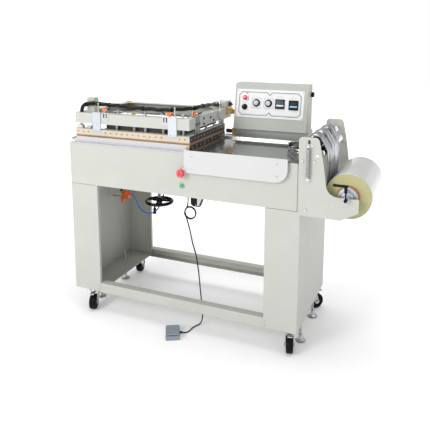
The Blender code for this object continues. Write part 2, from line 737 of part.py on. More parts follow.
def on_face(shape, x, up):
    """Stand a shape made about the origin, facing -Y, on the console's leaning face."""
    (foot_y, foot_z), (head_y, head_z) = FACE_FOOT, FACE_HEAD
    slope = math.atan2(head_y - foot_y, head_z - foot_z)
    spot = (x, foot_y + up * math.sin(slope), foot_z + up * math.cos(slope))
    turn = Matrix.Rotation(-slope, 3, "X")
    bmesh.ops.rotate(shape, cent=(0, 0, 0), matrix=turn, verts=shape.verts)
    bmesh.ops.translate(shape, vec=spot, verts=shape.verts)
    return spot


def power_bore():
    """The hole that the power button's body passes through."""
    bore = cylinder((0, 0, 0), "Y", POWER_RADIUS + 0.4, -8, 20, 20)
    on_face(bore, *POWER_BUTTON)
    return bore


def console():
    """The folded control housing on its pedestal, open below."""
    (foot_y, foot_z), (head_y, head_z) = FACE_FOOT, FACE_HEAD
    front, back = PEDESTAL
    outline = [(foot_y, foot_z), (front, foot_z), (front, BEAM_TOP + GAP), (back, BEAM_TOP + GAP),
               (back, foot_z), (CONSOLE_BACK, foot_z), (CONSOLE_BACK, head_z), (head_y, head_z)]
    t = SHEET
    inside = [(foot_y + t, foot_z + t), (front + t, foot_z + t), (front + t, BEAM_TOP - 5),
              (back - t, BEAM_TOP - 5), (back - t, foot_z - t), (CONSOLE_BACK - t, foot_z - t),
              (CONSOLE_BACK - t, head_z - t), (head_y + t, head_z - t)]
    shell = prism(outline, "X", CONSOLE_LEFT, CONSOLE_RIGHT)
    hollow = prism(inside, "X", CONSOLE_LEFT + t, CONSOLE_RIGHT - t)
    piece("control_box", cut(shell, hollow, power_bore()), "paint")


def console_face():
    """The white face plate and the controls on it."""
    plate = box((-177.5, -2.0, -72), (177.5, -GAP, 72))
    spot = on_face(plate, *FACE_CENTRE)
    piece("face_plate", cut(plate, power_bore()), "panel_white", spot)
    front = -2.0 - GAP
    rim = POWER_RADIUS
    lamp = [(0, front - 13), (rim - 3, front - 13), (rim, front - 10), (rim, 8), (0, 8)]
    stem = [(0, front - 15), (9, front - 15), (12, front - 3), (15, front - 3), (15, front), (0, front)]
    dial = [(0, front - 16), (16, front - 16), (19, front - 13), (20, front), (0, front)]
    for name, profile, slot, where in (("power_button", lamp, "red_plastic", POWER_BUTTON),
                                       ("selector_knob", stem, "black_plastic", SELECTOR),
                                       ("time_dial_left", dial, "panel_white", LEFT_DIAL),
                                       ("time_dial_right", dial, "panel_white", RIGHT_DIAL)):
        shape = turned(profile, (0, 0, 0), "Y", 20)
        spot = on_face(shape, *where)
        piece(name, shape, slot, spot, smooth=True)


# --- Film holder ---------------------------------------------------------------------------


def holder_outline():
    """The film holder's side plate: a tall head, a hollow shoulder and a long arm."""
    outline = [(1196, 674), (1372, 673), (1445, 713), (1446, 771)]
    outline += arc((1358, 821), 50, 270, 188, 6)
    outline += [(1295, 910), (1276, 1005)]
    outline += arc((1260, 1001), 15, 20, 90, 3)
    outline += arc((1207, 998), 18, 90, 180, 4)
    return outline


def holder_plates():
    """The two side plates, each with a notch for the roll's shaft; the back one has the ties."""
    for name, face in (("front_holder_plate", -GAP - PLATE_THICKNESS), ("rear_holder_plate", DEPTH + GAP)):
        plate = prism(holder_outline(), "Y", face, face + PLATE_THICKNESS)
        notch = cylinder((ROLL_X, face, ROLL_Z), "Y", SHAFT_RADIUS + 0.5, -5, 10, 16)
        mouth = box((ROLL_X - 12, face - 5, ROLL_Z), (ROLL_X + 12, face + 10, ROLL_Z + 20))
        bores = [notch, mouth]
        for x, z, _ in (UPPER_ROLLER, LOWER_ROLLER):
            bores.append(cylinder((x, face, z), "Y", JOURNAL_RADIUS + RUNNING, -5, 10, FIT_STEPS))
        shape = cut(plate, *bores)
        if name == "rear_holder_plate":
            ties = []
            for x, z in TIES:
                ties.append(cylinder((x, 0, z), "Y", TIE_RADIUS, 0, DEPTH + 2, 8))
            shape = join(shape, *ties)
        piece(name, shape, "paint")


def film_rollers():
    """The two guide rollers, whose journals run in the side plates."""
    for name, (x, z, radius) in (("upper_film_roller", UPPER_ROLLER), ("lower_film_roller", LOWER_ROLLER)):
        journal = JOURNAL_RADIUS
        profile = [(journal, -5), (journal, ROLLER_FRONT), (radius, ROLLER_FRONT), (radius, ROLLER_REAR),
                   (journal, ROLLER_REAR), (journal, DEPTH + 5)]
        piece(name, turned(profile, (x, 0, z), "Y", FIT_STEPS), "chrome", (x, 0, z), smooth=True)


def film_roll():
    """The roll of film on its card core, the shaft with its chucks, and the locking lever."""
    axis = (ROLL_X, 0, ROLL_Z)
    roll = [(CORE_RADIUS + GAP, ROLL_FRONT), (ROLL_RADIUS, ROLL_FRONT), (ROLL_RADIUS, ROLL_REAR),
            (CORE_RADIUS + GAP, ROLL_REAR)]
    piece("film_roll", hollow_turned(roll, axis, "Y", 28), "film", axis, smooth=True)
    core = [(CORE_BORE, ROLL_FRONT - 4), (CORE_RADIUS, ROLL_FRONT - 4), (CORE_RADIUS, ROLL_REAR + 4),
            (CORE_BORE, ROLL_REAR + 4)]
    piece("roll_core", hollow_turned(core, axis, "Y", 16), "card", axis, smooth=True)
    chuck = 38.0
    profile = [(SHAFT_RADIUS, -18), (SHAFT_RADIUS, 14), (30, 16), (30, 24), (42, 24),
               (42, ROLL_FRONT - 4.3), (chuck, ROLL_FRONT - 4.3), (chuck, 70), (SHAFT_RADIUS, 70),
               (SHAFT_RADIUS, 365), (chuck, 365), (chuck, ROLL_REAR + 4.3), (42, ROLL_REAR + 4.3),
               (42, 410), (SHAFT_RADIUS, 410), (SHAFT_RADIUS, 562)]
    piece("roll_shaft", turned(profile, axis, "Y", 16), "chrome", axis, smooth=True)


def chuck_lever():
    """The black T-handle that locks the roll's front chuck, on the shaft's end."""
    hub = cylinder((ROLL_X, 0, ROLL_Z), "Y", 10, -32, -18.3)
    arm = box((ROLL_X - 5, -30, ROLL_Z), (ROLL_X + 5, -22, ROLL_Z + 62))
    grip = box((ROLL_X - 52, -31, ROLL_Z + 56), (ROLL_X + 8, -21, ROLL_Z + 67))
    piece("chuck_lever", join(hub, arm, grip), "black_plastic", (ROLL_X, -25, ROLL_Z))


def film_web():
    """The film between the roll and the lower roller, as a thin slab."""
    x, z, radius = LOWER_ROLLER
    low = (ROLL_X - ROLL_RADIUS - 4.0, 62.0, ROLL_Z + 20)
    high = (ROLL_X - ROLL_RADIUS - 1.0, 380.0, z - 2)
    piece("film_web", box(low, high), "film")


# --- Valve, hose, cord and pedal -----------------------------------------------------------

VALVE_X = 88.0
VALVE_Y = 372.0
HOSE_RADIUS = 4.0
HOSE_ROUTE = ((118.4, 372, 536), (127, 372, 536), (150, 372, 515), (176, 371, 466), (206, 370, 444),
              (240, 370, 438), (274, 370, 452), (304, 371, 486), (328, 372, 545), (344, 372, 620),
              (348, 372, 689.2))


def air_valve():
    """The air valve on its arm from the left leg's wall, and the hose up to the crossbar."""
    body = box((VALVE_X - 22, VALVE_Y - 14, 510), (VALVE_X + 20, VALVE_Y + 14, 548))
    arm = box((SHEET + GAP, VALVE_Y - 9, 512), (VALVE_X - 20, VALVE_Y + 9, 516))
    spigot = cylinder((VALVE_X + 18, VALVE_Y, 536), "X", 8, 0, 12)
    piece("air_valve", join(body, arm, spigot), "orange_plastic")
    tube("air_hose", HOSE_ROUTE, HOSE_RADIUS, "blue_hose", 2)


CORD_ROUTE = ((623.6, 68, 559.5), (626.2, 68, 550), (641, 68, 505), (656, 70, 434), (672, 73, 375),
              (684, 76, 290), (690, 80, 205), (693, 87, 140), (694, 96, 85), (693, 100, 45),
              (691, 97, 22), (685, 89, 7.5), (675, 76, 3.2), (667, 60, 3.2), (663, 40, 3.2),
              (661.5, 16, 3.2), (657, -3, 3.6), (648, -15, 6), (638.8, -21.2, 9.5), (629.9, -25.9, 10.5))


def foot_cord():
    """The gland, the pedal cord's coil and its free run down to the floor."""
    x, y, z = CORD_GLAND
    sleeve = z - 35
    gland = turned([(4, sleeve), (6, z - 10), (9, z - 10), (9, z + 2), (12, z + 2),
                    (12, BEAM_BOTTOM - GAP)], (x, y, 0), "Z", 12)
    piece("cord_gland", gland, "brass", smooth=True)
    half = 7.0
    inner = COIL_RADIUS - 9.0
    ring = [(inner, -half), (COIL_RADIUS, -half), (COIL_RADIUS, half), (inner, half)]
    piece("cord_coil", hollow_turned(ring, COIL_CENTRE, "Y", 20), "black_plastic", smooth=True)
    tube("pedal_cord", CORD_ROUTE, CORD_RADIUS, "black_plastic", 2)


def foot_pedal():
    """The foot switch: a base on the floor and a treadle hinged along its back edge."""
    base = join(box((-52, -34, 0), (52, 34, 5)), box((-52, -34, 0), (52, -30.5, 22)),
                box((-52, 30.5, 0), (52, 34, 22)), box((36, -34, 0), (52, 34, 22)))
    hinge = (44.0, 0.0, 30.0)
    treadle = prism([(50, 26), (50, 33), (-48, 24), (-52, 18), (-50, 15)], "Y", -30, 30)
    turn = Matrix.Rotation(math.radians(PEDAL_TURN), 3, "Z")
    for shape in (base, treadle):
        bmesh.ops.rotate(shape, cent=(0, 0, 0), matrix=turn, verts=shape.verts)
        bmesh.ops.translate(shape, vec=(*PEDAL_CENTRE, 0), verts=shape.verts)
    axis = turn @ Vector(hinge) + Vector((*PEDAL_CENTRE, 0))
    piece("pedal_base", base, "pedal_grey")
    piece("pedal_treadle", treadle, "pedal_grey", axis)


def build():
    """Clear the scene and make every sub-part."""
    for old in list(bpy.data.objects):
        bpy.data.objects.remove(old)
    leg("left")
    leg("right")
    rail("front_rail", 0.0, 1)
    rail("rear_rail", DEPTH, -1)
    for name, (x, y, angle) in CASTORS.items():
        castor(name, x, y, angle)
    for name, (x, y) in FEET.items():
        levelling_foot(name, x, y)
    beam()
    push_buttons()
    apron()
    tray()
    tray_rail()
    lower_bars()
    upper_bar()
    head_frame()
    guide("left", LEFT_ROD, LEFT_TOWER, 1098.0, 1112.0)
    guide("right", RIGHT_ROD, RIGHT_TOWER, 1066.0, 1076.0)
    clamp_plates()
    harness()
    conveyor()
    handwheel()
    console()
    console_face()
    holder_plates()
    film_rollers()
    film_roll()
    chuck_lever()
    film_web()
    air_valve()
    foot_cord()
    foot_pedal()


build()
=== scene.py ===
"""The look of an L-bar film sealer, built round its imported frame."""
import json
import math

import bmesh
import bpy
from mathutils import Matrix, Vector

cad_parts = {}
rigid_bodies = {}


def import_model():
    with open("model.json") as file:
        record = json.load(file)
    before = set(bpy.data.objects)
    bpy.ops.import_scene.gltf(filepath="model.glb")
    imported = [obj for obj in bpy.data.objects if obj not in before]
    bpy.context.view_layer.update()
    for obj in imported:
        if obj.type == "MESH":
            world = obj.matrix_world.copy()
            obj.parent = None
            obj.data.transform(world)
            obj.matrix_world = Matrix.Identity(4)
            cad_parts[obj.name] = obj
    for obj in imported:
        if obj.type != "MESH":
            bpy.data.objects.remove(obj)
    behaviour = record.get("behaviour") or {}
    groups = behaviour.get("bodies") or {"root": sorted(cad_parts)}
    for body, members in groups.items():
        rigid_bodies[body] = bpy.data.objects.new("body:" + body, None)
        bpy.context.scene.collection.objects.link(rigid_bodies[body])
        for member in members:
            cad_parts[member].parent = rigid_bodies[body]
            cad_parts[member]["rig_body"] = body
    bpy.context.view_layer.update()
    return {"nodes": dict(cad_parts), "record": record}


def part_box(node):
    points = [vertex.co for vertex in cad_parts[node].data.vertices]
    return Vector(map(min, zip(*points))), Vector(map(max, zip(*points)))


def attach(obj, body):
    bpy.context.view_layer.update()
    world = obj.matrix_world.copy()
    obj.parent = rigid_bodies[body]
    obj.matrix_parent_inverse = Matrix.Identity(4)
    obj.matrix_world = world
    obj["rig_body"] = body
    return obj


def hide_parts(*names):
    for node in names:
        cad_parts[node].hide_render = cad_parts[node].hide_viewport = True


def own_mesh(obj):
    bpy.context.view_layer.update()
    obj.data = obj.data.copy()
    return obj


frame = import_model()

MM = 0.001
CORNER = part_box("left_leg")[0]
UP = (0, 0, 1)
DOWN = (0, 0, -1)
FRONT = (0, -1, 0)
BACK = (0, 1, 0)
RIGHT = (1, 0, 0)
LEFT = (-1, 0, 0)


def at(x, y, z):
    """A point in mm from the left leg's outer front corner, with z from the floor."""
    return Vector((CORNER.x + x * MM, CORNER.y + y * MM, z * MM))


def box_mm(node):
    """A CAD node's lowest and highest corners in the machine's mm."""
    low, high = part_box(node)
    return [(corner - Vector((CORNER.x, CORNER.y, 0.0))) / MM for corner in (low, high)]


def middle(node):
    """The middle of a CAD node's box, in mm."""
    low, high = box_mm(node)
    return (low + high) / 2


# --- Camera, light and floor ---

CAMERA_PLACE = (1750.0, -2196.0, 1439.0)
CAMERA_YAW = 23.3
CAMERA_PITCH = 9.9
CAMERA_LENS = 45.5
CAMERA_SHIFT = -0.20
LIGHT_TARGET = (0.0, 0.0, 0.6)
LIGHTS = {"key": ((-1.7, -3.9, 2.6), 1.6, 90.0), "fill": ((3.4, -2.4, 1.8), 2.4, 4.0),
          "top": ((0.2, 0.3, 3.6), 2.6, 52.0)}
SKY = ((0.0, (1.0, 1.0, 1.0)), (0.13, (1.0, 1.0, 1.0)), (0.22, (0.50, 0.50, 0.51)),
       (0.42, (0.44, 0.44, 0.45)), (0.80, (0.80, 0.80, 0.81)))
FLOOR_RADIUS = 14.0
GLOW = {"From Min": 1.0, "From Max": 3.2, "To Min": 0.12, "To Max": 0.60}


def camera():
    """The camera stands to the right of the machine and a little above its table."""
    data = bpy.data.cameras.new("camera")
    data.lens = CAMERA_LENS
    data.sensor_width = 36.0
    data.shift_y = CAMERA_SHIFT
    data.clip_end = 100.0
    made = bpy.data.objects.new("camera", data)
    made.location = at(*CAMERA_PLACE)
    made.rotation_euler = (math.radians(90 - CAMERA_PITCH), 0.0, math.radians(CAMERA_YAW))
    bpy.context.scene.collection.objects.link(made)
    bpy.context.scene.camera = made


def area_light(name, place, size, power):
    """A soft square light aimed at the machine's middle."""
    data = bpy.data.lights.new(name, "AREA")
    data.size = size
    data.energy = power
    made = bpy.data.objects.new(name, data)
    made.location = Vector(place)
    made.rotation_mode = "QUATERNION"
    made.rotation_quaternion = (Vector(LIGHT_TARGET) - Vector(place)).to_track_quat("-Z", "Y")
    bpy.context.scene.collection.objects.link(made)


def surroundings():
    """A studio that is white near the floor, greyer above it and bright overhead."""
    world = bpy.data.worlds.new("studio")
    world.use_nodes = True
    tree = world.node_tree
    parts = add_node(tree, "SeparateXYZ", {"Vector": where_in(tree, "Generated")})
    fill(tree, tree.nodes["Background"], {"Color": ramp(tree, parts.outputs["Z"], SKY), "Strength": 1.0})
    bpy.context.scene.world = world


def studio():
    """Pale surroundings, a key light from the front left, a weak fill and a top light."""
    surroundings()
    bpy.context.scene.view_settings.view_transform = "Standard"
    for name, light in LIGHTS.items():
        area_light(name, *light)
    floor = bmesh.new()
    bmesh.ops.create_circle(floor, cap_ends=True, radius=FLOOR_RADIUS, segments=96)
    data = bpy.data.meshes.new("floor")
    floor.to_mesh(data)
    floor.free()
    made = bpy.data.objects.new("floor", data)
    data.materials.append(floor_surface())
    bpy.context.scene.collection.objects.link(made)


def floor_surface():
    """A matt pale floor that glows softly far from the machine, as a lit backdrop does."""
    made = surface("floor")
    tree = made.node_tree
    away = add_node(tree, "VectorMath", {0: where_in(tree)}, operation="LENGTH").outputs["Value"]
    glow = add_node(tree, "MapRange", {**GLOW, "Value": away}).outputs["Result"]
    fill(tree, tree.nodes["Principled BSDF"],
         {"Emission Strength": glow, "Emission Color": (1.0, 1.0, 1.0, 1.0)})
    return made


# --- Materials ---

COAT_ROUGHNESS = 0.08
RING_STOPS = ((0.35, (0.0,) * 3), (0.95, (0.38,) * 3))
FOLD_SHADE_STOPS = ((0.44, (0.0,) * 3), (0.56, (0.35,) * 3), (0.64, (0.95,) * 3))
MADE = {}


def fill(tree, made, inputs):
    """Set each of a node's inputs to a plain value, or join it to another node's output."""
    for name, value in inputs.items():
        if isinstance(value, bpy.types.NodeSocket):
            tree.links.new(value, made.inputs[name])
        else:
            made.inputs[name].default_value = value


def add_node(tree, kind, inputs, **settings):
    """Add a shader node with its settings and inputs."""
    made = tree.nodes.new("ShaderNode" + kind)
    for name, value in settings.items():
        setattr(made, name, value)
    fill(tree, made, inputs)
    return made


def where_in(tree, kind="Object"):
    """The coordinates of a point on the surface."""
    return tree.nodes.new("ShaderNodeTexCoord").outputs[kind]


def noise(tree, vector, scale, detail):
    """A noise value of a given scale, in waves a metre."""
    made = add_node(tree, "TexNoise", {"Scale": scale, "Detail": detail, "Vector": vector})
    return made.outputs["Fac"]


def ramp(tree, value, stops):
    """Turn a value into a colour through a few stops."""
    made = add_node(tree, "ValToRGB", {"Fac": value})
    band = made.color_ramp
    while len(band.elements) < len(stops):
        band.elements.new(0.5)
    for element, (place, colour) in zip(band.elements, stops):
        element.position = place
        element.color = (*colour, 1.0)
    return made.outputs["Color"]


def mix(tree, mask, under, over):
    """Lay a plain colour over another where the mask is bright."""
    made = add_node(tree, "Mix", {"Factor": mask, 6: under, 7: (*over, 1.0)}, data_type="RGBA")
    return made.outputs[2]


def ring_mask(tree, where):
    """Fine rings about the film roll's axis, as the edges of its wound film."""
    about = add_node(tree, "Mapping", {"Location": at(ROLL_X, 0.0, ROLL_Z), "Vector": where},
                     vector_type="TEXTURE").outputs["Vector"]
    wave = add_node(tree, "TexWave", {"Scale": 42.0, "Distortion": 1.6, "Detail": 3.0, "Vector": about},
                    wave_type="RINGS", rings_direction="Y")
    return ramp(tree, wave.outputs["Fac"], RING_STOPS)


def fold_shade_mask(tree, where):
    """Long uneven dark streaks across the film: painted shade of folds that face away from the light."""
    mapped = add_node(tree, "Mapping", {"Scale": (1.0, 4.5, 1.0), "Vector": where}).outputs["Vector"]
    return ramp(tree, noise(tree, mapped, 13.0, 4.0), FOLD_SHADE_STOPS)


def finish(name, colour, rough, metal, bump, grain, vary, patch=6.0, spread=0.08, coat=0.0, shine=0.5,
           stretch=(1.0, 1.0, 1.0), depth=0.0002, soil=None, soil_share=0.0, rings=None, streaks=None):
    """A surface with slow colour variation, uneven roughness and a fine grain in its relief."""
    made = bpy.data.materials.new(name)
    made.use_nodes = True
    tree = made.node_tree
    where = where_in(tree)
    low = tuple(c * (1 - vary) for c in colour)
    high = tuple(min(1.0, c * (1 + vary)) for c in colour)
    shade = ramp(tree, noise(tree, where, patch, 3.0), ((0.3, low), (0.7, high)))
    if soil:
        marks = noise(tree, where, patch * 5, 6.0)
        shade = mix(tree, ramp(tree, marks, ((0.62, (0, 0, 0)), (0.78, (soil_share,) * 3))), shade, soil)
    if rings:
        shade = mix(tree, ring_mask(tree, where), shade, rings)
    # painted shade: dark streaks where the film's folds face away from the light
    if streaks:
        shade = mix(tree, fold_shade_mask(tree, where), shade, streaks)
    mapped = add_node(tree, "Mapping", {"Scale": stretch, "Vector": where}).outputs["Vector"]
    level = add_node(tree, "MapRange", {"To Min": max(0.02, rough - spread),
                                        "To Max": min(1.0, rough + spread),
                                        "Value": noise(tree, mapped, grain / 25, 3.0)})
    relief = add_node(tree, "Bump", {"Strength": bump, "Distance": depth,
                                     "Height": noise(tree, mapped, grain, 2.0)})
    fill(tree, tree.nodes["Principled BSDF"],
         {"Base Color": shade, "Metallic": metal, "Specular IOR Level": shine, "Coat Weight": coat,
          "Coat Roughness": COAT_ROUGHNESS, "Roughness": level.outputs["Result"],
          "Normal": relief.outputs["Normal"]})
    return made


DUST = (0.30, 0.27, 0.22)
# Each finish: its colour, roughness, metal, relief, grain and variation, then anything special.
FINISHES = {
    "floor": ((0.93, 0.93, 0.93), 0.8, 0, 0.02, 40, 0.01, {}),
    "paint": ((0.490, 0.497, 0.455), 0.42, 0, 0.18, 900, 0.025,
        dict(soil=(0.44, 0.43, 0.38), soil_share=0.10)),
    "face_white": ((0.72, 0.72, 0.72), 0.35, 0, 0.10, 900, 0.02, {}),
    # painted shade: the dark colour of the thin slabs along the sheet seams
    "seam_shade": ((0.20, 0.20, 0.18), 0.7, 0, 0.2, 700, 0.2, dict(shine=0.2)),
    # painted shade: the main paint darkened, a shaded copy of it for the console
    "console_paint_shaded": ((0.405, 0.422, 0.386), 0.42, 0, 0.18, 900, 0.025, {}),
    "panel_white": ((0.57, 0.57, 0.565), 0.35, 0, 0.10, 900, 0.02, {}),
    # painted reflection: the stainless is darker than bare steel, so the tray reflects as if in dark
    # surroundings
    "stainless": ((0.44, 0.445, 0.455), 0.10, 1, 0.05, 60, 0.07, dict(stretch=(1, 22, 22), spread=0.05)),
    "rail_steel": ((0.70, 0.69, 0.68), 0.22, 1, 0.06, 60, 0.08, dict(stretch=(1, 22, 22), spread=0.06)),
    "aluminium": ((0.55, 0.57, 0.61), 0.38, 0.75, 0.12, 120, 0.05, dict(stretch=(1, 1, 14))),
    "bar_white": ((0.53, 0.535, 0.55), 0.36, 0, 0.08, 140, 0.03,
        dict(stretch=(1, 20, 20), soil=(0.50, 0.43, 0.34), soil_share=0.18)),
    "bar_cream": ((0.50, 0.49, 0.455), 0.38, 0, 0.10, 300, 0.06,
        dict(soil=(0.36, 0.26, 0.16), soil_share=0.35)),
    "seal_tape": ((0.28, 0.135, 0.050), 0.55, 0, 0.35, 900, 0.18,
        dict(soil=(0.07, 0.035, 0.02), soil_share=0.6)),
    "amber_edge": ((0.46, 0.30, 0.13), 0.5, 0, 0.2, 700, 0.2,
        dict(soil=(0.12, 0.07, 0.03), soil_share=0.5)),
    "chrome": ((0.74, 0.75, 0.77), 0.09, 1, 0.03, 80, 0.05, dict(stretch=(20, 1, 20), spread=0.04)),
    "zinc": ((0.56, 0.58, 0.59), 0.30, 1, 0.12, 260, 0.16, dict(spread=0.14, soil=DUST, soil_share=0.35)),
    "blue_zinc": ((0.42, 0.52, 0.60), 0.28, 0.9, 0.1, 260, 0.12, {}),
    "steel": ((0.45, 0.45, 0.45), 0.38, 1, 0.12, 200, 0.12, {}),
    # dark steel parts, and also painted shade in slots, bores, a groove, the gap under the channel and the
    # bars' shadowed sides
    "dark_steel_and_shade": ((0.045, 0.040, 0.036), 0.42, 0.4, 0.3, 500, 0.3,
        dict(soil=(0.16, 0.12, 0.08), soil_share=0.5)),
    "yellow_zinc": ((0.80, 0.44, 0.03), 0.32, 0.35, 0.12, 300, 0.15,
        dict(soil=(0.45, 0.20, 0.02), soil_share=0.5)),
    "gold": ((0.80, 0.45, 0.06), 0.25, 0.6, 0.1, 400, 0.15, {}),
    "black_plastic": ((0.006, 0.006, 0.007), 0.36, 0, 0.20, 1400, 0.15, dict(shine=0.12)),
    "black_gloss": ((0.006, 0.006, 0.007), 0.14, 0, 0.04, 900, 0.15, dict(coat=0.10, shine=0.16)),
    "black_rubber": ((0.007, 0.006, 0.006), 0.50, 0, 0.25, 800, 0.2,
        dict(soil=DUST, soil_share=0.06, shine=0.10)),
    "navy": ((0.010, 0.014, 0.05), 0.35, 0, 0.2, 900, 0.2, {}),
    "belt_green": ((0.012, 0.075, 0.055), 0.55, 0, 0.5, 900, 0.15, dict(soil=DUST, soil_share=0.2)),
    "red_plastic": ((0.74, 0.018, 0.030), 0.26, 0, 0.05, 500, 0.05, dict(coat=0.4)),
    "green_plastic": ((0.035, 0.42, 0.15), 0.30, 0, 0.05, 500, 0.05, dict(coat=0.4)),
    "film": ((0.50, 0.50, 0.48), 0.22, 0, 0.10, 14, 0.05, dict(stretch=(6, 1, 6), spread=0.08, coat=0.6)),
    "roll_end": ((0.47, 0.445, 0.225), 0.5, 0, 0.2, 900, 0.06, dict(rings=(0.30, 0.265, 0.11))),
    # the film's streak colour is painted shade of folds facing away from the light
    "film_web": ((0.36, 0.375, 0.395), 0.13, 0.85, 0.6, 30, 0.14,
        dict(stretch=(1, 5, 1), spread=0.06, depth=0.003, coat=0.5, streaks=(0.045, 0.050, 0.062))),
    # painted shade: clear film made near black where it lies in the gap beside the tray
    "film_in_shade": ((0.045, 0.040, 0.036), 0.16, 0.3, 0.6, 30, 0.6,
        dict(spread=0.08, patch=30.0, depth=0.003, coat=0.5)),
    # painted shade of the hollow folds between the film's humps
    "film_pleat_shade": ((0.030, 0.032, 0.038), 0.34, 0, 0.3, 60, 0.4, dict(shine=0.3)),
    "card": ((0.44, 0.22, 0.08), 0.85, 0, 0.4, 700, 0.15, {}),
    "orange_plastic": ((0.90, 0.15, 0.012), 0.34, 0, 0.10, 700, 0.05, {}),
    "blue_hose": ((0.012, 0.24, 0.66), 0.26, 0, 0.05, 300, 0.05, dict(coat=0.5)),
    "brass": ((0.66, 0.54, 0.34), 0.26, 1, 0.08, 300, 0.05, {}),
    "pedal_grey": ((0.265, 0.320, 0.365), 0.50, 0, 0.45, 450, 0.10, dict(soil=DUST, soil_share=0.25)),
    "print_dark": ((0.055, 0.060, 0.068), 0.5, 0, 0.05, 900, 0.1, {}),
    "print_pale": ((0.52, 0.56, 0.60), 0.5, 0, 0.05, 900, 0.04, {}),
    "display_blue": ((0.22, 0.55, 0.80), 0.2, 0, 0.02, 900, 0.12, dict(patch=90.0, coat=0.6)),
}


def surface(name):
    """One of the finishes above, made the first time it is asked for."""
    if name not in MADE:
        *plain, special = FINISHES[name]
        MADE[name] = finish(name, *plain, **special)
    return MADE[name]


# --- Shapes ---


def show(name, shape, body, slot, look=None, smooth=35.0, bevel=0.0, steps=2, replaces=()):
    """Turn a mesh into a named piece that rides on a body and has a finish."""
    data = bpy.data.meshes.new(name)
    bmesh.ops.recalc_face_normals(shape, faces=shape.faces)
    shape.to_mesh(data)
    shape.free()
    data.shade_smooth()
    data.set_sharp_from_angle(angle=math.radians(smooth))
    made = bpy.data.objects.new(name, data)
    data.materials.append(surface(look or slot))
    bpy.context.scene.collection.objects.link(made)
    if bevel:
        edges = made.modifiers.new("edges", "BEVEL")
        edges.width = bevel * MM
        edges.segments = steps
        edges.limit_method = "ANGLE"
        edges.angle_limit = math.radians(40)
        edges.harden_normals = True
    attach(made, body)
    if replaces:
        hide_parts(*replaces)
    return made


def put(name, shapes, body="stand", slot="zinc", look=None, **more):
    """Show one piece made of several shapes in mm."""
    return show(name, gather(*shapes), body, slot, look, **more)


def gather(*shapes):
    """Put shapes made in mm in one mesh in metres."""
    data = bpy.data.meshes.new("gathered")
    whole = bmesh.new()
    for shape in shapes:
        bmesh.ops.recalc_face_normals(shape, faces=shape.faces)
        shape.to_mesh(data)
        shape.free()
        whole.from_mesh(data)
    bpy.data.meshes.remove(data)
    for vert in whole.verts:
        vert.co = at(*vert.co)
    return whole


def body_of(node):
    """The body that a CAD node rides on."""
    return frame["nodes"][node]["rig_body"]


def slot_of(node):
    """The record's material slot of a CAD node."""
    return next(part["material_slot"] for part in frame["record"]["subparts"] if part["node"] == node)


def refine(node, bevel=0.8, look=None):
    """Stand a copy of a CAD node with softened edges in the node's place."""
    shape = bmesh.new()
    shape.from_mesh(frame["nodes"][node].data)
    bmesh.ops.remove_doubles(shape, verts=shape.verts, dist=2e-6)
    bmesh.ops.dissolve_limit(shape, angle_limit=math.radians(0.3), verts=shape.verts, edges=shape.edges)
    return show(node + "_skin", shape, body_of(node), slot_of(node), look, bevel=bevel, replaces=(node,))


def lathe(profile, steps=32, closed=False):
    """Turn a profile of (radius, height) points about Z; a closed one leaves a hole through."""
    shape = bmesh.new()
    rings = []
    for radius, height in profile:
        angles = [2 * math.pi * i / steps for i in range(1 if radius == 0 else steps)]
        rings.append([shape.verts.new((radius * math.cos(a), radius * math.sin(a), height)) for a in angles])
    pairs = list(zip(rings, rings[1:]))
    if closed:
        pairs.append((rings[-1], rings[0]))
    for one, two in pairs:
        for i in range(steps):
            j = (i + 1) % steps
            corners = [one[i % len(one)], two[i % len(two)], two[j % len(two)], one[j % len(one)]]
            shape.faces.new(list(dict.fromkeys(corners)))
    return shape


def aim(shape, centre, direction):
    """Point a shape's +Z along a direction, at a place in mm on the machine."""
    return move(shape, Vector(direction).to_track_quat("Z", "Y").to_matrix(), centre)


def move(shape, turn, place):
    """Turn a shape about the origin, then take it to a place."""
    bmesh.ops.rotate(shape, cent=(0, 0, 0), matrix=turn, verts=shape.verts)
    bmesh.ops.translate(shape, vec=place, verts=shape.verts)
    return shape


def turned(profile, place, way=UP, steps=32):
    """A solid turned shape at a place."""
    return aim(lathe(profile, steps), place, way)


def ring(profile, place, way=UP, steps=32):
    """A turned shape with a hole through it, at a place."""
    return aim(lathe(profile, steps, closed=True), place, way)


def washer(inner, outer, low, high):
    """The profile of a plain ring."""
    return [(inner, low), (outer, low), (outer, high), (inner, high)]


def slab(low, high):
    """A closed box between two corners."""
    shape = bmesh.new()
    bmesh.ops.create_cube(shape, size=1.0)
    for vert in shape.verts:
        for axis in range(3):
            vert.co[axis] = high[axis] if vert.co[axis] > 0 else low[axis]
    return shape


def slabs(*rows):
    """Boxes from rows of their low and high corners, six numbers each."""
    return [slab(row[:3], row[3:]) for row in rows]


def plate(outline, axis, low, high):
    """Extrude an outline along X, Y or Z; its points hold the two other coordinates."""
    shape = bmesh.new()
    place = {"X": lambda u, v, h: (h, u, v), "Y": lambda u, v, h: (u, h, v), "Z": lambda u, v, h: (u, v, h)}
    ends = [[shape.verts.new(place[axis](u, v, height)) for u, v in outline] for height in (low, high)]
    shape.faces.new(ends[0])
    shape.faces.new(ends[1])
    skirt(shape, ends[0], ends[1])
    return shape


def skirt(shape, one, two):
    """Faces between two closed rows of points."""
    for i in range(len(one)):
        j = (i + 1) % len(one)
        shape.faces.new((one[i], two[i], two[j], one[j]))


def sheet_of(rows):
    """A sheet of faces through rows of points."""
    shape = bmesh.new()
    grid = [[shape.verts.new(point) for point in row] for row in rows]
    for one, two in zip(grid, grid[1:]):
        for i in range(len(one) - 1):
            shape.faces.new((one[i], one[i + 1], two[i + 1], two[i]))
    return shape


def thicken(made, amount):
    """Give a sheet a real thickness in mm."""
    shell = made.modifiers.new("thickness", "SOLIDIFY")
    shell.thickness = amount * MM
    shell.offset = 0.0


def square(left, right, low, high):
    """A rectangle's corners."""
    return [(left, low), (right, low), (right, high), (left, high)]


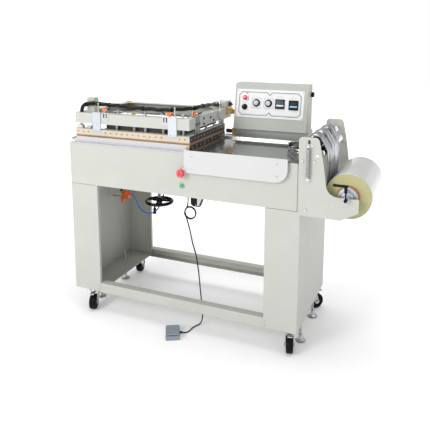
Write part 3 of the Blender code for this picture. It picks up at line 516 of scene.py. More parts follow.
def ribbon(outline, width, low, high):
    """A closed band of even width along an outline in X and Y."""
    shape = bmesh.new()
    rows = []
    for shift, height in ((-0.5, low), (0.5, low), (0.5, high), (-0.5, high)):
        row = []
        for i, point in enumerate(outline):
            before = (Vector(point) - Vector(outline[i - 1])).normalized()
            after = (Vector(outline[(i + 1) % len(outline)]) - Vector(point)).normalized()
            lean = (Vector((-before.y, before.x)) + Vector((-after.y, after.x))).normalized()
            reach = shift * width / max(0.3, lean.dot(Vector((-after.y, after.x))))
            row.append(shape.verts.new((point[0] + lean.x * reach, point[1] + lean.y * reach, height)))
        rows.append(row)
    for i, row in enumerate(rows):
        skirt(shape, row, rows[(i + 1) % len(rows)])
    return shape


def screw(centre, direction, radius):
    """A round-headed screw with a driver recess."""
    profile = [(0, -0.3), (1, -0.3), (1, 0.12), (0.86, 0.42), (0.5, 0.6), (0.34, 0.6), (0.30, 0.25), (0, 0.2)]
    return turned([(radius * r, radius * h) for r, h in profile], centre, direction, 20)


def screws(places, direction, radius):
    """The same screw at several places."""
    return [screw(place, direction, radius) for place in places]


def nut(centre, direction, radius, height):
    """A chamfered hexagon nut or bolt head."""
    profile = [(0, 0), (radius * 0.9, 0), (radius, height * 0.15), (radius, height * 0.85),
               (radius * 0.9, height), (radius * 0.5, height), (0, height * 0.96)]
    return turned(profile, centre, direction, 6)


def stud(centre, direction, radius, length, pitch=1.5):
    """A threaded rod, its thread as fine ridges."""
    profile = [(0, 0)]
    for i in range(int(length / pitch)):
        profile += [(radius * 0.84, i * pitch), (radius, (i + 0.5) * pitch)]
    profile += [(radius * 0.7, length), (0, length)]
    return turned(profile, centre, direction, 16)


def helix(centre, radius, length, turns, per_turn=14):
    """Points on a helix that starts round centre and runs upwards."""
    turn = Vector(UP).to_track_quat("Z", "Y").to_matrix()
    total = int(turns * per_turn)
    points = []
    for i in range(total + 1):
        angle = 2 * math.pi * i / per_turn
        local = Vector((radius * math.cos(angle), radius * math.sin(angle), length * i / total))
        points.append(Vector(centre) + turn @ local)
    return points


def wire(points, radius, sides=8):
    """A closed tube along a line of points in mm; its radius may be a function of the step."""
    shape = bmesh.new()
    rings = []
    normal = None
    for i, point in enumerate(points):
        ahead = (points[min(i + 1, len(points) - 1)] - points[max(i - 1, 0)]).normalized()
        normal = normal or ahead.orthogonal().normalized()
        normal = (normal - ahead * normal.dot(ahead)).normalized()
        side = ahead.cross(normal)
        reach = radius(i) if callable(radius) else radius
        angles = [2 * math.pi * k / sides for k in range(sides)]
        rings.append([shape.verts.new(point + (normal * math.cos(a) + side * math.sin(a)) * reach)
                      for a in angles])
    for one, two in zip(rings, rings[1:]):
        skirt(shape, one, two)
    shape.faces.new(rings[0])
    shape.faces.new(rings[-1])
    return shape


# --- Cords ---

CORD_RADIUS = 3.0
COIL_CENTRE = (646.0, 68.0, 590.0)
COIL_RADIUS = 29.5
COIL_TURNS = 2
COIL_STEPS = 16
COIL_START = 184.0
COIL_FRONT = -6.5
COIL_DEPTH = 7.5
CURVE_STEPS = 24
LEAD_DROP = ((0, 0, 0), (0, 0, -9), (-3, 0.4, -20), (-13.5, 1.0, -37))
CORD_ROUTE = ((641, 68, 505), (656, 70, 434), (672, 73, 375),
              (684, 76, 290), (690, 80, 205), (693, 87, 140), (694, 96, 85), (693, 100, 45),
              (691, 97, 22), (685, 89, 7.5), (675, 76, 3.2), (667, 60, 3.2), (663, 40, 3.2),
              (661.5, 16, 3.2), (657, -3, 3.6), (648, -15, 6), (638.8, -21.2, 9.5), (629.9, -25.9, 10.5))
HOSE_RADIUS = 4.0
HOSE_ROUTE = ((118.4, 372, 536), (127, 372, 536), (150, 372, 515), (176, 371, 466), (206, 370, 444),
              (240, 370, 438), (274, 370, 452), (304, 371, 486), (328, 372, 545), (344, 372, 620),
              (348, 372, 689.2))


def smooth_line(points, spacing):
    """Points at an even spacing on a smooth curve through the given ones."""
    ends = [points[0] * 2 - points[1], *points, points[-1] * 2 - points[-2]]
    dense = []
    for a, b, c, d in zip(ends, ends[1:], ends[2:], ends[3:]):
        for i in range(CURVE_STEPS):
            t = i / CURVE_STEPS
            dense.append(0.5 * (2 * b + (c - a) * t + (2 * a - 5 * b + 4 * c - d) * t * t
                                + (3 * b - 3 * c + d - a) * t ** 3))
    line = [dense[0]]
    for point in dense[1:]:
        if (point - line[-1]).length >= spacing:
            line.append(point)
    line.append(points[-1])
    return line


def eased(points, times):
    """The same line with its sharpest bends rounded off a little; its ends stay put."""
    for _ in range(times):
        inner = [(a + b * 2 + c) / 4 for a, b, c in zip(points, points[1:], points[2:])]
        points = [points[0], *inner, points[-1]]
    return points


def cord_curve(name, points, radius, slot):
    """A round cord on the stand, along a line of points in metres."""
    curve = bpy.data.curves.new(name, "CURVE")
    curve.dimensions = "3D"
    curve.bevel_depth = radius
    curve.bevel_resolution = 4
    curve.use_fill_caps = True
    spline = curve.splines.new("POLY")
    spline.points.add(len(points) - 1)
    for knot, point in zip(spline.points, points):
        knot.co = (*point, 1.0)
    spline.use_smooth = True
    curve.materials.append(surface(slot))
    made = bpy.data.objects.new(name, curve)
    bpy.context.scene.collection.objects.link(made)
    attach(made, "stand")
    return made


def coil_points():
    """The spare turns, from the left side down, round and off again at the lower left."""
    x, y, z = COIL_CENTRE
    total = COIL_TURNS * COIL_STEPS
    points = []
    for i in range(total + 1):
        angle = math.radians(COIL_START) + 2 * math.pi * i / COIL_STEPS
        share = i / total
        wide = COIL_RADIUS + math.sin(9.0 * share)
        points.append(at(x + wide * math.cos(angle), y + COIL_FRONT + COIL_DEPTH * share,
                         z + wide * math.sin(angle)))
    return points


def pedal_lead(pedal):
    """The foot switch's lead: out of its gland, round its spare loops and down to the pedal."""
    x, y, _ = middle("cord_gland")
    z = box_mm("cord_gland")[0].z
    route = [at(x + dx, y + dy, z + dz) for dx, dy, dz in LEAD_DROP]
    route += coil_points() + [at(*point) for point in CORD_ROUTE]
    line = eased(smooth_line(route, 0.004), 4)
    made = cord_curve("pedal_lead", line, CORD_RADIUS * MM, "black_plastic")
    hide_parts("pedal_cord", "cord_coil")


def air_hose():
    """The blue hose from the valve, sagging and then rising into the crossbar."""
    line = smooth_line([at(*point) for point in HOSE_ROUTE], 0.006)
    made = cord_curve("blue_air_hose", line, HOSE_RADIUS * MM, "blue_hose")
    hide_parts("air_hose")


# --- Stand, castors and feet ---

CASTOR_ANGLES = {"front_left": -72.0, "front_right": -72.0, "rear_left": 100.0, "rear_right": 45.0}
CASTOR_TRAIL = 32.0
WHEEL_RADIUS = 40.0
WHEEL_HALF = 16.0


def castor(key, angle):
    """A wheel with a rounded tread, its hub covers and the fork's fittings."""
    hub = middle(key + "_castor_wheel")
    ahead = Vector((math.cos(math.radians(angle)), math.sin(math.radians(angle)), 0))
    axle = Vector((-ahead.y, ahead.x, 0))
    half = WHEEL_HALF
    side = [(5.3, half - 1), (12, half), (26, half), (28, half - 2.5), (33, half - 2.5), (35, half),
            (37.6, half - 0.9), (39.4, half - 3.2), (WHEEL_RADIUS, half - 6.5)]
    tread = [(r, -h) for r, h in side] + side[::-1]
    put(key + "_wheel_tread", [ring(tread, hub, axle, 56)], key + "_wheel", "black_rubber",
        replaces=(key + "_castor_wheel",))
    refine(key + "_castor_fork", bevel=1.0)
    fittings = [nut(hub + axle * way * (half + 4.6), axle * way, 8.5, 5.0) for way in (-1, 1)]
    top = box_mm(key + "_castor_fork")[1].z
    x, y, _ = hub - ahead * CASTOR_TRAIL
    race = [(20, 0), (33, 0), (34.5, 2.5), (33, 5.5), (25, 8), (20, 8)]
    put(key + "_fork_fittings", fittings + [ring(race, (x, y, top - 14), UP, 40)], key + "_fork")
    put(key + "_castor_bolts", [nut((x + dx, y + dy, top + 0.3), DOWN, 6.5, 4.5)
                                for dx in (-28, 28) for dy in (-28, 28)])


def levelling_foot(key):
    """A domed pad with a rubber rim on a threaded stem with its lock nuts."""
    node = key + "_levelling_foot"
    x, y, _ = middle(node)
    dome = [(0, 6.5), (23.4, 6.5), (23.6, 8.2), (20, 10.5), (12.5, 14), (10, 19), (9.6, 26), (8, 28), (0, 28)]
    put(key + "_foot_dome", [turned(dome, (x, y, 0), UP, 40)], key + "_foot", replaces=(node,))
    rim = [(0, 3.0), (22.6, 3.0), (24, 4.2), (24, 6.6), (22, 7.4), (0, 7.4)]
    put(key + "_foot_rim", [turned(rim, (x, y, 0), UP, 40)], key + "_foot", "black_rubber")
    thread = [stud((x, y, 26), UP, 6.0, box_mm(node)[1].z - 26.5, 2.0), nut((x, y, 29), UP, 11, 8),
              nut((x, y, 96), UP, 11, 8)]
    put(key + "_foot_stem", thread, key + "_foot")


def stand_fixings():
    """Bolts along the rails' ends, and dark slabs painted as the shade in the seams between the legs, the
    beam and the holder.
    """
    put("rail_bolts", [screw((x, y, z), (0, way, 0), 4.0) for x in (149.0, 1051.0)
                       for y, way in ((0.0, -1), (544.0, 1)) for z in (128.0, 152.0)])
    put("seam_shade_lines", slabs((0.4, -0.5, 686.2, 148.6, -0.1, 688.2), (1051, -0.5, 686.2, 1186.4, -0.1, 688.2),
                             (1186.4, -0.5, 686.2, 1188.9, -0.1, 895.8)), "stand", "paint", "seam_shade")


# --- Beam, tray and buttons ---


def beam_strip():
    """The bare step in front of the lower seal bar, with its countersunk screws."""
    put("beam_step", slabs((2, 1.2, 896.3, 654, 19.6, 901.4)), "stand", "bar_white", bevel=0.6)
    places = [[(x, 10, 901.4) for x in row] for row in ((167, 210, 461, 510), (60, 330, 590))]
    put("beam_step_screws", screws(places[0], UP, 4.2) + screws(places[1], UP, 2.6))
    put("corner_block", slabs((651, 14.2, 911, 667, 19.6, 925)), "stand", "brass", "amber_edge", bevel=0.6)


def lower_bar_trim():
    """The amber edges and the screws of the fixed bar."""
    put("lower_bar_edge", slabs((28.5, 19.1, 930.6, 666.5, 20.4, 932.2),
                                (667.0, 20.5, 930.6, 668.2, 449.5, 932.2)), "stand", "seal_tape",
        "amber_edge")
    # A dark plate on the fixed bar's right side: partly its real dark stains, partly painted shade of that
    # shadowed side.
    put("lower_bar_side_stain_and_shade", slabs((667.3, 22, 898, 668.5, 449, 930)), "stand", "steel", "dark_steel_and_shade",
        bevel=0.3)
    put("lower_bar_screws", screws([(668.5, 48 + 46 * i, 914 + 6 * (i % 2)) for i in range(9)], RIGHT, 3.4))


def tray_details():
    """The apron's and the tray's screws, and the caps at the rail's ends."""
    put("apron_screws", screws([(x, -18.0, z) for x in (695, 1100) for z in (838, 892)], FRONT, 4.4),
        look="blue_zinc")
    put("tray_screws", screws([(704, 330, 915.8), (1000, 330, 915.8)], UP, 3.0))
    put("rail_end_caps", slabs((686.6, 346.5, 897, 688.9, 413.5, 924.4),
                               (1141.1, 346.5, 897, 1143.4, 413.5, 924.4)), "stand", "steel", bevel=0.4)


def creased(x, y, share):
    """The height of the film in the gap beside the tray."""
    sag = math.sin(math.pi * share)
    crease = 3.4 * math.sin(0.11 * x + 0.05 * y + 2.2 * math.sin(0.031 * y))
    crease += 2.6 * math.sin(0.071 * y - 0.09 * x + 1.7 * math.sin(0.05 * x))
    crease += 1.5 * math.sin(0.21 * y + 0.13 * x)
    return 903.5 - 11 * sag + crease * (0.35 + 0.65 * sag)


def film_gap():
    """The creased film that passes down the slanted gap beside the tray, coloured near black as painted shade
    of the gap.
    """
    rows = []
    across, along = 56, 84
    for j in range(along + 1):
        y = 8 + 460 * j / along
        left = 1146 - 94 * min(1.0, y / 345.0) - 6
        spots = [(left + (1190 - left) * i / across, i / across) for i in range(across + 1)]
        rows.append([(x, y, creased(x, y, share)) for x, share in spots])
    made = put("film_in_well", [sheet_of(rows)], "stand", "film", "film_in_shade", smooth=80.0)
    thicken(made, 0.3)


def push_buttons():
    """The mushroom stop button and the start button, each with its collar on the beam."""
    x, _, z = middle("stop_button")
    cap = [(0, 39), (9, 38.8), (14.5, 37.8), (18, 35.6), (19.7, 32.4), (20, 29), (19.4, 26), (17, 24.4),
           (11, 23.6), (11, -8), (0, -8)]
    put("stop_mushroom", [turned(cap, (x, 0, z), FRONT, 48)], "stop_button", "red_plastic",
        replaces=("stop_button",))
    sweeps = [[math.radians(120 * i + 9 * k) for k in range(9)] for i in range(3)]
    arrows = [wire([Vector((x + 12 * math.cos(a), -38.4, z + 12 * math.sin(a))) for a in sweep], 0.7, 6)
              for sweep in sweeps]
    put("stop_arrows", arrows, "stop_button", "panel_white")
    collar = [(13, 0.2), (20, 0.2), (20, 3), (17.5, 6), (14.5, 15), (13, 15)]
    put("stop_collar", [ring(collar, (x, 0, z), FRONT, 40)])
    x, _, z = middle("start_button")
    cap = [(0, 10.4), (5, 10.6), (8.2, 10.2), (9.7, 8.6), (9.9, 4), (9.9, -8), (0, -8)]
    put("start_cap", [turned(cap, (x, 0, z), FRONT, 40)], "start_button", "green_plastic",
        replaces=("start_button",))
    collar = [(10.6, 0.2), (14.5, 0.2), (14.5, 2), (12.8, 4.6), (10.6, 4.6)]
    put("start_collar", [ring(collar, (x, 0, z), FRONT, 40)])


# --- Seal bar ---

BAR_FRONT = 20.0
BAR_RIGHT = 667.0
HOLE_Z = 957.0
HOLE_ROWS = ((42.0, 31.0, 3), (205.0, 31.5, 11), (616.0, 27.0, 2))
FRONT_PINS = (50.0, 122.0, 262.0, 362.0, 424.0, 522.0, 628.0)
SIDE_PINS = (140.0, 240.0, 340.0, 430.0)
SPRING_FOOT = 972.6
SPRING_HEAD = 998.6


def hole_bushes():
    """A brass bush in each recess along the upper bar's face."""
    places = [(first + i * pitch, BAR_FRONT + 0.3, HOLE_Z) for first, pitch, count in HOLE_ROWS
              for i in range(count)]
    bush = [(2.6, 0.0), (5.4, 0.0), (6.0, 0.5), (6.0, 1.2), (2.6, 1.2)]
    put("bar_bushes", [ring(bush, place, FRONT, 24) for place in places], "seal_bar", "brass", "gold")
    # A dark plug fills each bush's bore: painted shade in the bore.
    bore_shade = [(0, -3), (2.7, -3), (2.7, 0.4), (0, 0.4)]
    put("bar_bush_bore_shades", [turned(bore_shade, place, FRONT, 16) for place in places], "seal_bar", "steel",
        "dark_steel_and_shade")


def pin_springs():
    """The compression springs between the floating bar and the head's channel."""
    places = [(x, BAR_FRONT + 17.0) for x in FRONT_PINS] + [(BAR_RIGHT - 15.0, y) for y in SIDE_PINS]
    tall = SPRING_HEAD - SPRING_FOOT
    coils = [wire(helix((x, y, SPRING_FOOT), 6.6, tall, 5.5), 1.15, 7) for x, y in places]
    made = put("pin_springs", coils, "seal_bar")
    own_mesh(made)
    seat = washer(4.2, 9.5, 0, 1.4)
    put("spring_seats", [ring(seat, (x, y, SPRING_FOOT - 0.5), UP, 24) for x, y in places], "seal_bar")


def bar_trim():
    """Edges, end plates, and a dark plate on the floating bar's side arm: partly its real dark stains, partly
    painted shade.
    """
    put("bar_edges", slabs((28.4, 19.4, 970.4, 666.6, 21.0, 972.5), (28.4, 19.5, 939.2, 666.6, 20.6, 942.0)),
        "seal_bar", "bar_cream", "amber_edge")
    put("bar_side_stain_and_shade", slabs((667.1, 22, 941, 668.5, 449, 971)), "seal_bar", "steel", "dark_steel_and_shade",
        bevel=0.3)
    put("bar_side_screws", screws([(668.5, 40 + 36 * i, 956) for i in range(12)], RIGHT, 3.2), "seal_bar")
    put("bar_end_blocks", slabs((27.2, 20.6, 940, 28.8, 49.4, 971.5), (36, 24, 972.2, 66, 44, 988),
                                (84, 30, 972.2, 112, 44, 984)), "seal_bar", bevel=0.8)


# --- Seal head ---

CHANNEL_TOP = 1052.0
CHANNEL_FACE = 20.0
CLAMPS = {"left": 135.0, "right": 558.0}
POSTS = ((165, 26), (590, 26), (648, 92))
ELBOWS = {"left": ((197, 30, 1063), 1), "right": ((560, 30, 1061), -1), "corner": ((655, 105, 1060), 1)}
HARNESS_ROUTE = ((54, 42, 1052.6), (54, 42, 1066), (70, 41, 1086), (105, 40, 1097), (165, 40, 1097),
                 (225, 40, 1095), (300, 40, 1094), (353, 40, 1088), (444, 40, 1088), (527, 40, 1087),
                 (600, 46, 1094), (642, 74, 1096), (656, 118, 1095), (657, 170, 1096),
                 (652, 240, 1092), (642, 310, 1086), (634, 380, 1079), (633, 425, 1069),
                 (633, 446, 1068))
HARNESS_TIES = (10, 17, 24, 33, 62, 84, 104, 118, 132, 150, 168)


def clamp_screws():
    """Two screws at each clamp plate's foot and one in its middle."""
    for side, x in CLAMPS.items():
        heads = [screw((x + dx, 15.7, z), FRONT, r)
                 for dx, z, r in ((11, 972, 3.6), (34, 972, 3.6), (22, 1000, 2.2))]
        put("clamp_screws_" + side, heads, "head", look="blue_zinc")
        put("clamp_crease_" + side, slabs((x - 0.4, 15.5, 966, x + 1.2, 19.7, 1058)), "head", "aluminium")


def slotted_bracket(name, x, width, low, high):
    """A small slotted bracket on the channel's face, held by one screw."""
    front, back = CHANNEL_FACE - 2.6, CHANNEL_FACE - 0.3
    foot = low + 14
    finger = width / 5
    bars = slabs((x, front, low, x + width, back, foot), (x, front, high - 4, x + width, back, high),
                 *[(x + i * finger, front, foot - 1, x + (i + 1) * finger, back, high - 3)
                   for i in (0, 2, 4)])
    put(name, bars, "head", "bar_white", bevel=0.3)
    # A dark plate behind the fingers: painted shade in the slots.
    put(name + "_finger_gap_shade", slabs((x + 2, back - 0.7, foot, x + width - 2, back - 0.1, high - 4)), "head",
        "steel", "dark_steel_and_shade")
    put(name + "_screw", [screw((x + width / 2, front, low + 7), FRONT, 3.6)], "head")


def air_fitting(name, place, way):
    """An orange push-in elbow on a plated stem, with its tube heading off along way."""
    x, y, z = place
    along = (way, 0, 0)
    top = (x, y, z + 8)
    body = [(0, -11), (7.2, -11), (8.4, -9.5), (8.4, 6), (7.4, 8), (7.4, 9.5), (8.2, 10.2), (8.2, 12.5),
            (0, 12.5)]
    cap = [(0, 0), (8.6, 0), (8.6, 12.5), (7.0, 14.5), (0, 14.5)]
    put(name, [turned(body, top, along, 28), turned(cap, place, UP, 28)], "head", "orange_plastic",
        smooth=50.0)
    foot = CHANNEL_TOP - z
    put(name + "_stem", [turned([(0, foot), (4.0, foot), (4.0, 0.5), (0, 0.5)], place, UP, 16),
                         nut((x, y, CHANNEL_TOP + 0.2), UP, 9, 6),
                         ring(washer(3.2, 7.4, 12.5, 17), top, along, 24)], "head")
    tube = [Vector((x + way * (12 + 5 * i), y - 0.8 * i, z + 8 + 0.35 * i * i)) for i in range(6)]
    put(name + "_tube", [wire(tube, 2.9, 10)], "head", "black_plastic")


def head_fittings():
    """Elbows, posts, screws and brackets along the front channel and round its corner."""
    for side, (place, way) in ELBOWS.items():
        air_fitting("elbow_" + side, place, way)
    slotted_bracket("bracket_left", 189, 36, 1018, 1057)
    slotted_bracket("bracket_right", 526, 34, 1018, 1059)
    post = [(0, 0), (5.2, 0), (5.2, 4), (3.0, 5), (3.0, 20), (4.4, 21), (4.4, 27), (3.0, 28), (3.0, 44),
            (4.6, 46), (4.6, 52), (0, 52)]
    posts = [turned(post, (x, y, CHANNEL_TOP + 0.2), UP, 20) for x, y in POSTS]
    put("harness_posts", posts + [nut((x, y, CHANNEL_TOP + 0.1), UP, 8, 6) for x, y in POSTS], "head")
    put("post_bands", [ring(washer(3.1, 5.0, 0, 5), (x, y, 1081), UP, 20) for x, y in POSTS], "head",
        "brass", "gold")
    uprights = []
    for x, y in ((269, 40), (424, 40), (624, 40), (647, 190), (647, 330)):
        uprights += [stud((x, y, CHANNEL_TOP - 2), UP, 3.2, 26), nut((x, y, CHANNEL_TOP + 0.2), UP, 7.5, 6),
                     nut((x, y, CHANNEL_TOP + 14), UP, 6.5, 4.5)]
    put("channel_studs", uprights, "head", "brass", "zinc")
    spans = [[Vector((x + 12 * i, 36 + 1.5 * i, 1061 + 7 * math.sin(0.55 * i))) for i in range(8)]
             for x in (240, 330, 500)]
    put("signal_wires", [wire(span, 1.5, 8) for span in spans], "head", "steel", "print_pale")


def head_sides():
    """The head's inner ridges, dark sheets behind the springs painted as the shade in the gap under the
    channel, and the side bracket.
    """
    put("rear_wall_ridges", slabs(*[(70, 495.0, z, 596, 497.3, z + 2.2) for z in (1029.0, 1013.0)]), "head",
        "paint", bevel=0.5)
    # Dark sheets behind the springs: painted shade of the gap under the channel.
    put("spring_gap_shade", slabs((190, 53, 972.2, 552, 55.4, 993.8), (604, 53, 972.2, 624, 55.4, 993.8),
                           (620, 60, 972.2, 622.4, 440, 993.8)), "seal_bar", "black_rubber", "dark_steel_and_shade")
    fingers = [(667.3, 85 + 13.6 * i, 984, 669.2, 94.2 + 13.6 * i, 1054) for i in range(4)]
    put("side_bracket", slabs((667.3, 85, 978, 669.2, 135, 986), (667.3, 85, 1052, 669.2, 135, 1062),
                              *fingers, (667.3, 85, 1016, 669.2, 135, 1024)), "head", bevel=0.3)
    bolts = screws([(669.2, y, z) for y, z in ((92, 1020), (128, 1020), (92, 982), (128, 982))], RIGHT, 3.4)
    bolts += [nut((667.2, y, z), RIGHT, 6.0, 4.0)
              for y, z in ((180, 1036), (180, 1010), (262, 1030), (300, 1012), (388, 1034))]
    put("side_bolts", bolts, "head", look="dark_steel_and_shade")
    rod = [(0, 0), (2.6, 0), (3.0, 1), (3.0, 116), (2.6, 117), (0, 117)]
    put("chrome_tie_rod", [turned(rod, (673, 365, 978), UP, 20)], "head", "chrome")
    put("tie_rod_clips", slabs((667.2, 356, 1034, 679, 374, 1052), (667.2, 358, 990, 678, 372, 999)), "head",
        "panel_white", bevel=1.2)
    put("tie_rod_nut", [nut((673, 365, 1094.5), UP, 6.5, 6)], "head")


def yellow_brackets():
    """The plated yellow brackets at the right tower, the rear corner and behind the tray."""
    side = plate([(478, 1008), (560, 1008), (560, 1034), (545, 1055), (478, 1055)], "X", 667.6, 671.4)
    put("tower_bracket", [side, *slabs((667.6, 556.5, 1008, 700, 560, 1034))], "head", "brass", "yellow_zinc",
        bevel=0.5)
    bolt = [(0, 0), (7.6, 0), (7.6, 3.4), (6.6, 4.6), (3.4, 4.6), (3.4, 2.4), (0, 2.4)]
    put("tower_bolts", [turned(bolt, (671.4, y, z), RIGHT, 24) for y in (494, 520) for z in (1020, 1042)],
        "head", "steel", "zinc")
    wedge = plate([(500, 1056.5), (562, 1056.5), (540, 1074), (504, 1080)], "X", 667.6, 672.0)
    put("tower_wedge", [wedge], "head", "black_rubber", bevel=0.8)
    put("rear_straps", slabs((60, 496.2, 956, 86, 497.4, 1046), (30, 500.3, 1040, 60, 502.2, 1056),
                             (30, 486, 1052.4, 60, 502.2, 1054.4)), "head", "brass", "yellow_zinc")
    put("stand_bracket", slabs((710, 448, 897, 745, 451, 949), (710, 448, 946, 745, 470, 949)), "stand",
        "brass", "yellow_zinc", bevel=0.5)
    put("stand_bracket_bolts", [nut((719, 448, 934), FRONT, 6, 4), nut((736, 448, 934), FRONT, 6, 4)])
    jack = [(0, 0), (9, 0), (11, 2), (11, 26), (9.4, 27), (9.4, 31), (11, 32), (11, 42), (8, 44), (0, 44)]
    put("side_cylinder", [turned(jack, (670, 468, 930), RIGHT, 28)], "stand", "black_plastic", "navy")


def tower_trim():
    """Cap plates on the two guide towers, and the harness's black gland."""
    caps = []
    for side in ("left", "right"):
        low, high = box_mm("guide_tower_" + side)
        caps.append(slab((low.x + 2, low.y + 2, high.z), (high.x - 2, high.y - 2, high.z + 1.2)))
    put("tower_caps", caps, "head", "paint", bevel=0.5)
    elbow = [(0, 0), (11, 0), (11, 5), (9.5, 7), (9.5, 16), (0, 16)]
    spot = (633, 451.8, 1068)
    put("harness_gland", [turned(elbow, spot, FRONT, 24), nut(spot, FRONT, 13, 6)], "head", "black_plastic")


def strand(line, phase):
    """One of the harness's cables, wound about its line and bulky at the left end."""
    points = []
    for i, point in enumerate(line):
        ahead = (line[min(i + 1, len(line) - 1)] - line[max(i - 1, 0)]).normalized()
        side = ahead.cross(Vector(UP if abs(ahead.z) < 0.9 else RIGHT)).normalized()
        turn = 2 * math.pi * (phase + i / 30)
        reach = 4.3 + 1.6 * math.exp(-((i - 16) / 9) ** 2)
        points.append(point + side * reach * math.cos(turn) + side.cross(ahead) * reach * math.sin(turn))
    return wire(points, 5.9, 12)


def harness():
    """Three cables laid up together, with ties and their tails."""
    line = smooth_line([Vector(point) for point in HARNESS_ROUTE], 5.0)
    put("harness_strands", [strand(line, k / 3) for k in range(3)], "head", "black_plastic", "black_gloss",
        replaces=("cable_harness",), smooth=60.0)
    ties = []
    for i in HARNESS_TIES:
        if i < len(line) - 1:
            ties.append(ring(washer(9.6, 11.8, -2.2, 2.2), line[i], line[i + 1] - line[i - 1], 20))
            ties.append(slab(line[i] + Vector((-2, -12.5, -2.5)), line[i] + Vector((2.5, -8.5, 2.5))))
    put("harness_ties", ties, "head", "black_plastic")


# --- Console ---

FACE_FOOT = (400.0, 957.0)
FACE_HEAD = (440.0, 1191.0)
FACE_CENTRE = (922.5, 134.0)
PLATE_FACE = 2.0
POWER_BUTTON = (792.5, 162.0)
SELECTOR = (791.0, 115.0)
DIALS = {"left": (853.5, 138.0), "right": (917.5, 138.0)}
TIMERS = ((978.0, 136.5), (1048.0, 134.0))


def on_face(shape, x, up, out=0.0):
    """Move a shape whose Z points out of the leaning face to a place on that face."""
    lean = math.atan2(FACE_HEAD[0] - FACE_FOOT[0], FACE_HEAD[1] - FACE_FOOT[1])
    s, c = math.sin(lean), math.cos(lean)
    foot = Vector((x, FACE_FOOT[0] + up * s, FACE_FOOT[1] + up * c))
    turn = Matrix(((1, 0, 0), (0, s, -c), (0, c, s)))
    return move(shape, turn, foot + Vector((0, -c, s)) * (PLATE_FACE + out))


def border_line(wide, tall, corner, notch):
    """The printed border's corners, counterclockwise from the lower left."""
    top = [(wide, tall - corner), (wide - corner, tall), (notch, tall), (0, tall - notch),
           (-notch, tall), (-wide + corner, tall), (-wide, tall - corner)]
    return [(-x, -y) for x, y in top] + top


def face_border():
    """The face plate's printed border: chamfered corners and a notch at the top and bottom."""
    bands = [ribbon(border_line(163, 59, 15, 14), 2.6, 0.0, 0.35),
             ribbon(border_line(158.5, 54.5, 13, 13), 0.7, 0.0, 0.3)]
    put("face_border", [on_face(band, *FACE_CENTRE) for band in bands], "stand", "panel_white", "print_dark")
    heads = [on_face(screw((0, 0, 0), UP, 3.0), FACE_CENTRE[0] + dx, FACE_CENTRE[1] + dy)
             for dx, dy in ((-171, 65), (171, 65), (-171, -65), (171, -65), (0, 63), (0, -63))]
    put("face_screws", heads, look="blue_zinc")


def ticks(centre, radius, count, length):
    """Short radial marks round a centre on the face."""
    marks = []
    for i in range(count):
        angle = math.radians(-220 + 260 * i / (count - 1)) + math.pi
        mark = slab((radius, -0.35, 0.0), (radius + length, 0.35, 0.25))
        marks.append(on_face(move(mark, Matrix.Rotation(angle, 3, "Z"), (0, 0, 0)), *centre))
    return marks


def dials():
    """The two time dials with their printed squares and plain signs."""
    rim = [(12.6, 3.0), (16.2, 2.6), (19.4, 1.2), (19.8, 0.3), (12.6, 0.3)]
    cap = [(0, 14.5), (9.5, 14.8), (11.6, 13.8), (12.3, 11), (12.5, 0.4), (0, 0.4)]
    for side, centre in DIALS.items():
        body = side + "_dial"
        put("dial_ring_" + side, [on_face(lathe(rim, 48, closed=True), *centre)], body, "black_plastic",
            replaces=("time_dial_" + side,))
        put("dial_cap_" + side, [on_face(lathe(cap, 48), *centre)], body, "panel_white")
        put("dial_pointer_" + side, [on_face(slab((-0.6, 1.0, 14.4), (0.6, 11.0, 15.1)), *centre)], body,
            "red_plastic", "amber_edge")
        frame_line = ribbon(square(-24, 24, -25, 24), 4.6, 0.0, 0.2)
        put("dial_print_" + side, [on_face(frame_line, *centre), *ticks(centre, 20.6, 11, 2.6)], "stand",
            "panel_white", "print_pale")
        signs = []
        for k in range(3 if side == "right" else 2):
            round_sign = lathe(washer(4.2, 5.4, 0, 0.2), 24, closed=True)
            mark = ribbon(square(-4, 4, -4, 4), 0.8, 0.0, 0.2) if k % 2 else round_sign
            signs.append(on_face(mark, centre[0] - 18 + 18 * k, centre[1] + 36))
        put("dial_signs_" + side, signs, "stand", "panel_white", "print_pale")


def timers():
    """The two square counters: a black bezel, a sunk dark glass, a pale blue readout and keys."""
    bezels, glasses, readouts, keys, prints = [], [], [], [], []
    for centre in TIMERS:
        bezels.append(on_face(ribbon(square(-22, 22, -22, 22), 4.4, 0.1, 4.6), *centre))
        glasses.append(on_face(slab((-20.5, -20.5, 0.3), (20.5, 20.5, 3.2)), *centre))
        readouts.append(on_face(slab((-18.5, -10.5, 3.2), (18.5, -3.5, 3.6)), *centre))
        for k in range(4):
            keys.append(on_face(slab((-17 + 9.2 * k, -18.5, 3.2), (-10.5 + 9.2 * k, -13.5, 4.2)), *centre))
        for k in range(3):
            prints.append(on_face(slab((-15, 2 + 5 * k, 3.2), (15 - 5 * (k % 2), 2.9 + 5 * k, 3.4)), *centre))
        prints.append(on_face(ribbon(square(-16, 14, 31, 38), 0.5, 0.0, 0.2), *centre))
    put("timer_bezels", bezels, "stand", "black_plastic", bevel=0.5)
    put("timer_glasses", glasses, "stand", "black_plastic", "black_gloss")
    put("timer_readouts", readouts, "stand", "panel_white", "display_blue")
    put("timer_keys", keys, "stand", "black_plastic", bevel=0.4)
    put("timer_prints", prints, "stand", "panel_white", "print_dark")


